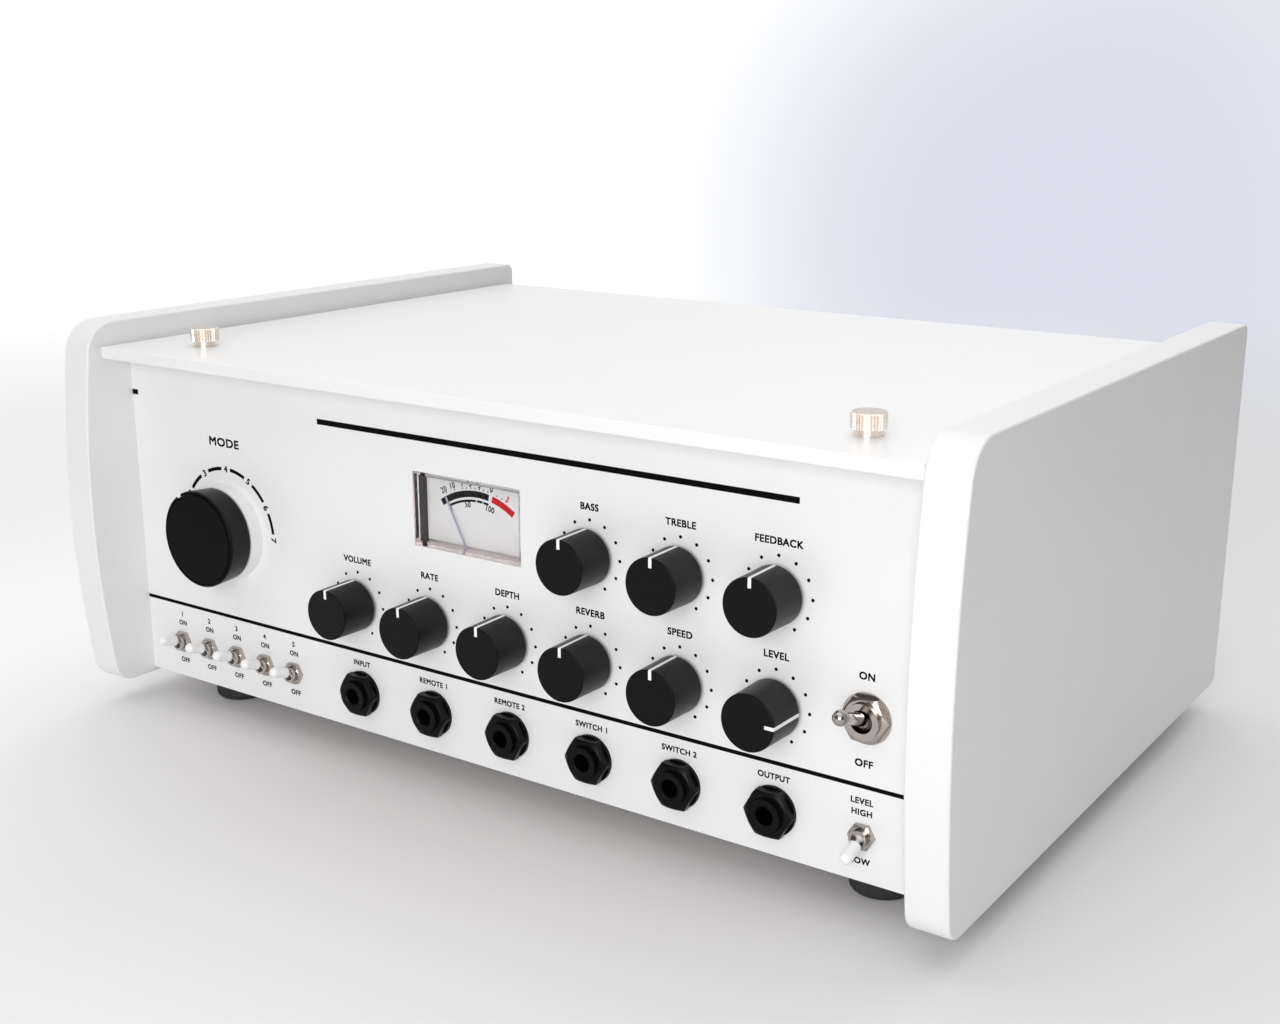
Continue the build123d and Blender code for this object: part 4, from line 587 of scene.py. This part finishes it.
def panel_stripes():
    """The long stripe at the top, its stub at the panel's left edge, and the line above the jacks."""
    bm = bmesh.new()
    bar(bm, STRIPE_LEFT, STRIPE_RIGHT, STRIPE_Z, STRIPE_H, PANEL_INK)
    bar(bm, PANEL_LEFT, STUB_RIGHT, STRIPE_Z, STRIPE_H, PANEL_INK)
    bar(bm, PANEL_LEFT, PANEL_RIGHT, LINE_Z, LINE_H, PANEL_INK)
    piece("panel_stripes", bm, ink_black, "case")


DOT_R = 0.62
DOT_RING_R = 12.8
DOT_FIRST = -150.0
DOT_STEP = 30.0
DOT_COUNT = 11


def knob_scale_dots():
    """A ring of dots round each small knob, over the travel of its pointer."""
    bm = bmesh.new()
    for name in small_knobs:
        for k in range(DOT_COUNT):
            disc(bm, polar(axes[name], DOT_RING_R, DOT_FIRST + DOT_STEP * k), DOT_R, PANEL_INK)
    piece("knob_scale_dots", bm, ink_black, "case")


MODE_SCALE_R = 26.2
MODE_STROKE = 1.45
MODE_STEP = 30.0
MODE_BREAK = 5.6
MODE_COUNT = 7
MODE_DIGIT = 2.5


def mode_scale():
    """The digits of the mode knob's positions, with an arc between each two."""
    bm = bmesh.new()
    centre = axes["mode_knob"]
    for k in range(MODE_COUNT):
        angle = MODE_STEP * (k - (MODE_COUNT - 1) / 2)
        digit_x, digit_z = polar(centre, MODE_SCALE_R, angle)
        word(bm, str(k + 1), digit_x, digit_z, MODE_DIGIT, PANEL_INK, squeeze=1.1, turn=angle)
        if k < MODE_COUNT - 1:
            sector(bm, centre, MODE_SCALE_R, MODE_STROKE, angle + MODE_BREAK,
                   angle + MODE_STEP - MODE_BREAK, PANEL_INK)
    piece("mode_scale", bm, ink_black, "case")


CAPS = 2.35
SMALL_CAPS = 2.0
JACK_WORD_Z = 42.0
POWER_WORD_X = 162.1
POWER_WORDS = (("ON", 84.4), ("OFF", 54.9))
LEVEL_WORD_X = 162.0
LEVEL_WORDS = (("LEVEL", 41.8), ("HIGH", 37.9), ("LOW", 20.9))
MINI_NUMBER_Z = 42.1
MINI_WORDS = (("ON", 38.2), ("OFF", 21.2))
MODE_WORD_Z = 122.2
MODE_WORD_CAPS = 3.3


def panel_lettering():
    """The plain words and numbers at the controls."""
    bm = bmesh.new()
    for name, (text, text_z, _) in small_knobs.items():
        word(bm, text, axes[name][0], text_z, CAPS, PANEL_INK)
    for name, text in jack_words.items():
        word(bm, text, jacks[name][0], JACK_WORD_Z, SMALL_CAPS, PANEL_INK)
    for text, text_z in POWER_WORDS:
        word(bm, text, POWER_WORD_X, text_z, CAPS, PANEL_INK)
    for text, text_z in LEVEL_WORDS:
        word(bm, text, LEVEL_WORD_X, text_z, SMALL_CAPS, PANEL_INK)
    for k, name in enumerate(mini_levers):
        for text, text_z in ((str(k + 1), MINI_NUMBER_Z), *MINI_WORDS):
            word(bm, text, axes[name][0], text_z, SMALL_CAPS, PANEL_INK)
    word(bm, "MODE", axes["mode_knob"][0], MODE_WORD_Z, MODE_WORD_CAPS, PANEL_INK, squeeze=1.25)
    piece("panel_lettering", bm, ink_black, "case")


panel_stripes()
knob_scale_dots()
mode_scale()
panel_lettering()

# ---------------------------------------------------------------- white marks let into the knobs
SHY = 0.03
GROOVE_PLAY = 0.02
EDGE_STEPS = 6


def knob_side(distance):
    """Radius of a small knob's tapered side at a distance ahead of the panel."""
    share = (distance - KNOB_GAP) / (KNOB_FACE - KNOB_GAP)
    return KNOB_BACK_R + (KNOB_FRONT_R - KNOB_BACK_R) * share


def pointer_outline():
    """Section of a pointer as (radius, ahead) points: along the side, round the edge, onto the face."""
    groove_r = KNOB_FRONT_R - POINTER_DEPTH
    groove_face = KNOB_FACE - POINTER_DEPTH
    end_r = KNOB_FRONT_R - POINTER_LEN
    edge_r = KNOB_FRONT_R - KNOB_EDGE_R
    edge_face = KNOB_FACE - KNOB_EDGE_R
    outline = [(groove_r, KNOB_GAP), (knob_side(KNOB_GAP) - SHY, KNOB_GAP)]
    outline.append((knob_side(edge_face) - SHY, edge_face))
    for k in range(1, EDGE_STEPS + 1):
        bend = math.radians(90.0 * k / EDGE_STEPS)
        reach = KNOB_EDGE_R - SHY
        outline.append((edge_r + reach * math.cos(bend), edge_face + reach * math.sin(bend)))
    outline += [(end_r, KNOB_FACE - SHY), (end_r, groove_face), (groove_r, groove_face)]
    return outline


def pointer(name, angle):
    """White line that fills the groove of a small knob."""
    half_width = POINTER_W / 2 - GROOVE_PLAY
    rings = []
    for aside in (-half_width, half_width):
        ring = []
        for reach, distance in pointer_outline():
            x, z = turned(axes[name], reach, aside, angle)
            ring.append((x, PANEL_Y - distance, z))
        rings.append(ring)
    bm = bmesh.new()
    slab(bm, rings[0], rings[1])
    piece("pointer_" + name, bm, pointer_white, name)


NOTCH_RIM = 0.12
NOTCH_SINK = 0.3


def mode_notch_paint():
    """White fill of the notch in the mode knob's rim."""
    inner = MODE_CAP_R + MODE_GROOVE_W
    outer = MODE_R - NOTCH_RIM
    half_width = MODE_NOTCH_W / 2 - GROOVE_PLAY
    corners = [(inner, -half_width), (outer, -half_width), (outer, half_width), (inner, half_width)]
    outline = [turned(axes["mode_knob"], reach, aside, MODE_ANGLE) for reach, aside in corners]
    bm = bmesh.new()
    prism(bm, outline, (MODE_FACE - MODE_NOTCH_DEPTH, MODE_FACE - NOTCH_SINK))
    piece("mode_notch_paint", bm, pointer_white, "mode_knob")


for name, (_, _, angle) in small_knobs.items():
    pointer(name, angle)
mode_notch_paint()

# ---------------------------------------------------------------- meter dial
DIAL_FACE = ahead("meter_dial")
DIAL_INK = (DIAL_FACE - 0.01, DIAL_FACE + 0.03)
PIVOT = axes["meter_needle"]
BAND_R = 30.2
BAND_W = 2.5
LOWER_R = 27.6
LOWER_W = 0.9
TICK_R = 32.35
TICK_DOT_R = 0.3
TICK_SIDES = 12
BLACK_BAND = (-35.0, 10.5)
RED_BAND = (13.5, 34.5)
LOWER_BANDS = ((-29.0, -1.5), (-0.5, 5.0), (6.0, 11.0))
BLACK_TICKS = (-28.0, -20.0, -12.6, -9.1, -5.4, -1.7, 1.9, 5.5, 9.2)
RED_TICKS = (16.9, 21.2, 25.0)
DIAL_DIGIT = 2.2
DIAL_SQUEEZE = 0.85
DIAL_BOLD = 0.03
# Numbers on the dial: text, x, z and turn.
BLACK_NUMBERS = [("20", -19.7, 117.2, -27.0), ("10", -15.3, 119.4, -20.0), ("7", -10.5, 120.8, -12.0),
                 ("5", -6.7, 121.3, -6.0), ("3", -2.2, 121.3, 2.0), ("0", 3.6, 120.5, 11.0),
                 ("0", -16.5, 110.1, -27.0), ("50", -8.0, 113.2, -6.0), ("100", 2.8, 112.9, 12.0)]
RED_NUMBERS = [("3", 11.1, 117.9, 27.0)]
PIVOT_COVER_INNER = 3.0
PIVOT_COVER_OUTER = 9.5
PIVOT_COVER_HALF = 80.0
PIVOT_COVER_RISE = 0.8


def dial_print(name, paint, band, lower_bands, ticks, numbers):
    """Everything on the dial in one ink: the broad band, the thin bands below it, tick dots and numbers."""
    bm = bmesh.new()
    sector(bm, PIVOT, BAND_R, BAND_W, *band, DIAL_INK)
    for first, last in lower_bands:
        sector(bm, PIVOT, LOWER_R, LOWER_W, first, last, DIAL_INK)
    for angle in ticks:
        disc(bm, polar(PIVOT, TICK_R, angle), TICK_DOT_R, DIAL_INK, TICK_SIDES)
    for text, x, z, turn in numbers:
        word(bm, text, x, z, DIAL_DIGIT, DIAL_INK, DIAL_SQUEEZE, DIAL_BOLD, turn)
    piece(name, bm, paint, "case")


def meter_pivot_cover():
    """Pale half ring over the foot of the needle."""
    bm = bmesh.new()
    middle = (PIVOT_COVER_INNER + PIVOT_COVER_OUTER) / 2
    sector(bm, PIVOT, middle, PIVOT_COVER_OUTER - PIVOT_COVER_INNER, -PIVOT_COVER_HALF, PIVOT_COVER_HALF,
           (DIAL_INK[0], DIAL_INK[1] + PIVOT_COVER_RISE))
    # It takes the faintly glowing paper, with the same painted light as the dial.
    piece("meter_pivot_cover", bm, dial_paper, "case")


dial_print("dial_print_black", dial_ink_black, BLACK_BAND, LOWER_BANDS, BLACK_TICKS, BLACK_NUMBERS)
dial_print("dial_print_red", dial_ink_red, RED_BAND, (), RED_TICKS, RED_NUMBERS)
meter_pivot_cover()

# ---------------------------------------------------------------- surroundings
# Soft light from parts of the sky: direction, degrees at full strength, degrees at none, strength.
SKY = {
    "overhead": ((0.0, 0.0, 1.0), 15.0, 60.0, 1.15),
    "upper_half": ((0.0, 0.0, 1.0), 80.0, 100.0, 0.134),
    "north_high": ((0.0, 0.75, 0.66), 10.0, 45.0, 0.63),
    "west_high": ((-0.75, 0.0, 0.66), 10.0, 45.0, 0.24),
    "south_high": ((0.0, -0.75, 0.66), 10.0, 45.0, 0.24),
    "north_low": ((0.0, 1.0, 0.12), 10.0, 40.0, 0.185),
    "north_west_low": ((-0.7, 0.7, 0.12), 10.0, 40.0, 0.90),
    "west_low": ((-1.0, 0.0, 0.12), 10.0, 40.0, 0.46),
    "south_east_low": ((0.7, -0.7, 0.12), 10.0, 40.0, 0.08),
    "below": ((0.0, 0.0, -1.0), 60.0, 92.0, 0.46),
}
# Shades of the wall behind: degrees west of north, degrees up, degrees at full and at none, colour.
WALL = {
    "bright_left": (45.0, -3.0, 12.0, 26.0, (1.02, 1.02, 1.02)),
    "pale_right": (5.0, -2.0, 6.0, 18.0, (0.89, 0.90, 0.945)),
    "bluish_middle": (20.5, -5.0, 2.0, 14.0, (0.71, 0.74, 0.85)),
}


def compass(west, height):
    """Direction at some degrees west of north and some degrees above the horizon."""
    flat = math.cos(math.radians(height))
    return (-flat * math.sin(math.radians(west)), flat * math.cos(math.radians(west)),
            math.sin(math.radians(height)))


def lobe(tree, source, direction, inner, outer):
    """1 within inner degrees of a direction, falling smoothly to 0 at outer degrees."""
    cosine = tree.nodes.new("ShaderNodeVectorMath")
    cosine.operation = "DOT_PRODUCT"
    cosine.inputs[1].default_value = Vector(direction).normalized()
    tree.links.new(source, cosine.inputs[0])
    return passage(tree, cosine.outputs["Value"], math.cos(math.radians(outer)),
                   math.cos(math.radians(inner)), smooth=True)


def add_light(tree, below, factor, strength):
    """What is below, if anything, plus the factor times a strength."""
    made = tree.nodes.new("ShaderNodeMath")
    made.operation = "MULTIPLY_ADD"
    tree.links.new(factor, made.inputs[0])
    made.inputs[1].default_value = strength
    made.inputs[2].default_value = 0.0
    if below is not None:
        tree.links.new(below, made.inputs[2])
    return made.outputs["Value"]


def blend_in(tree, below, factor, colour):
    """The colour laid over what is below, by the factor."""
    made = tree.nodes.new("ShaderNodeMix")
    made.data_type = "RGBA"
    tree.links.new(factor, made.inputs["Factor"])
    tree.links.new(below, made.inputs["A"])
    made.inputs["B"].default_value = (*colour, 1.0)
    return made.outputs["Result"]


def studio_world():
    """Soft studio surroundings: bright overhead and at the north-west, dim in front, a shaded wall behind."""
    world = bpy.data.worlds.new("studio")
    bpy.context.scene.world = world
    world.use_nodes = True
    tree = world.node_tree
    tree.nodes.clear()
    output = tree.nodes.new("ShaderNodeOutputWorld")
    background = tree.nodes.new("ShaderNodeBackground")
    tree.links.new(background.outputs["Background"], output.inputs["Surface"])
    source = tree.nodes.new("ShaderNodeTexCoord").outputs["Generated"]
    colour = None
    for direction, inner, outer, strength in SKY.values():
        colour = add_light(tree, colour, lobe(tree, source, direction, inner, outer), strength)
    for west, height, inner, outer, shade in WALL.values():
        colour = blend_in(tree, colour, lobe(tree, source, compass(west, height), inner, outer), shade)
    tree.links.new(colour, background.inputs["Color"])


studio_world()

# ---------------------------------------------------------------- floor, with its lengths in metres
FLOOR_R = 2.4
FLOOR_SIDES = 96
FLOOR_FADE = (0.55, 1.5)
# Painted light on the floor: a warm shadow tint near the unit, and a grey that is paler at the left than at the
# right.
SHADOW_TINT_REACH = (0.14, 0.36)
NEAR_SHADOW_TINT = (0.975, 0.95, 0.945)
FAR_TINT = (0.98, 0.98, 0.992)
SHADE_REACH = (-0.28, -0.04)
LIT_LEFT_GREY = 0.89
SHADED_RIGHT_GREY = 0.755


def floor_paint():
    """Matt paint that fades to nothing further out, with painted light: paler at the left, a painted wash of
    light, and warm near the unit, a painted shadow tint.
    """
    made, tree, shader = start("stage_floor")
    shader.inputs["Roughness"].default_value = 0.9
    shader.inputs["Specular IOR Level"].default_value = 0.1
    length = tree.nodes.new("ShaderNodeVectorMath")
    length.operation = "LENGTH"
    tree.links.new(place_socket(tree), length.inputs[0])
    distance = length.outputs["Value"]
    # Warm painted shadow tint near the unit, and painted light that makes the floor paler towards the left.
    tint = ramp(tree, passage(tree, distance, *SHADOW_TINT_REACH), NEAR_SHADOW_TINT, FAR_TINT)
    left_to_right_shade = passage(tree, place_parts(tree)["X"], *SHADE_REACH, smooth=True)
    colour = tree.nodes.new("ShaderNodeMix")
    colour.data_type = "RGBA"
    colour.blend_type = "MULTIPLY"
    colour.inputs["Factor"].default_value = 1.0
    tree.links.new(ramp(tree, left_to_right_shade, grey(LIT_LEFT_GREY), grey(SHADED_RIGHT_GREY)), colour.inputs["A"])
    tree.links.new(tint, colour.inputs["B"])
    tree.links.new(colour.outputs["Result"], shader.inputs["Base Color"])
    tree.links.new(passage(tree, distance, *FLOOR_FADE, 1.0, 0.0, smooth=True), shader.inputs["Alpha"])
    return made


def stage_floor():
    """Round pale floor that fades into the surroundings well away from the unit."""
    bm = bmesh.new()
    bmesh.ops.create_circle(bm, cap_ends=True, segments=FLOOR_SIDES, radius=FLOOR_R)
    mesh = bpy.data.meshes.new("stage_floor")
    bm.to_mesh(mesh)
    bm.free()
    floor = bpy.data.objects.new("stage_floor", mesh)
    bpy.context.scene.collection.objects.link(floor)
    mesh.materials.append(floor_paint())


stage_floor()

# ---------------------------------------------------------------- lamp, in metres and watts
LAMP_PLACE = (0.36, -0.93, 0.32)
LAMP_TARGET = (0.0, -0.1, 0.08)
LAMP_WIDTH = 0.5
LAMP_POWER = 4.9


def front_light():
    """Square soft lamp ahead of the unit, a little to the right."""
    data = bpy.data.lights.new("front_light", "AREA")
    data.shape = "SQUARE"
    data.size = LAMP_WIDTH
    data.energy = LAMP_POWER
    lamp = bpy.data.objects.new("front_light", data)
    bpy.context.scene.collection.objects.link(lamp)
    lamp.location = LAMP_PLACE
    aim = Vector(LAMP_TARGET) - Vector(LAMP_PLACE)
    lamp.rotation_euler = aim.to_track_quat("-Z", "Y").to_euler()


front_light()
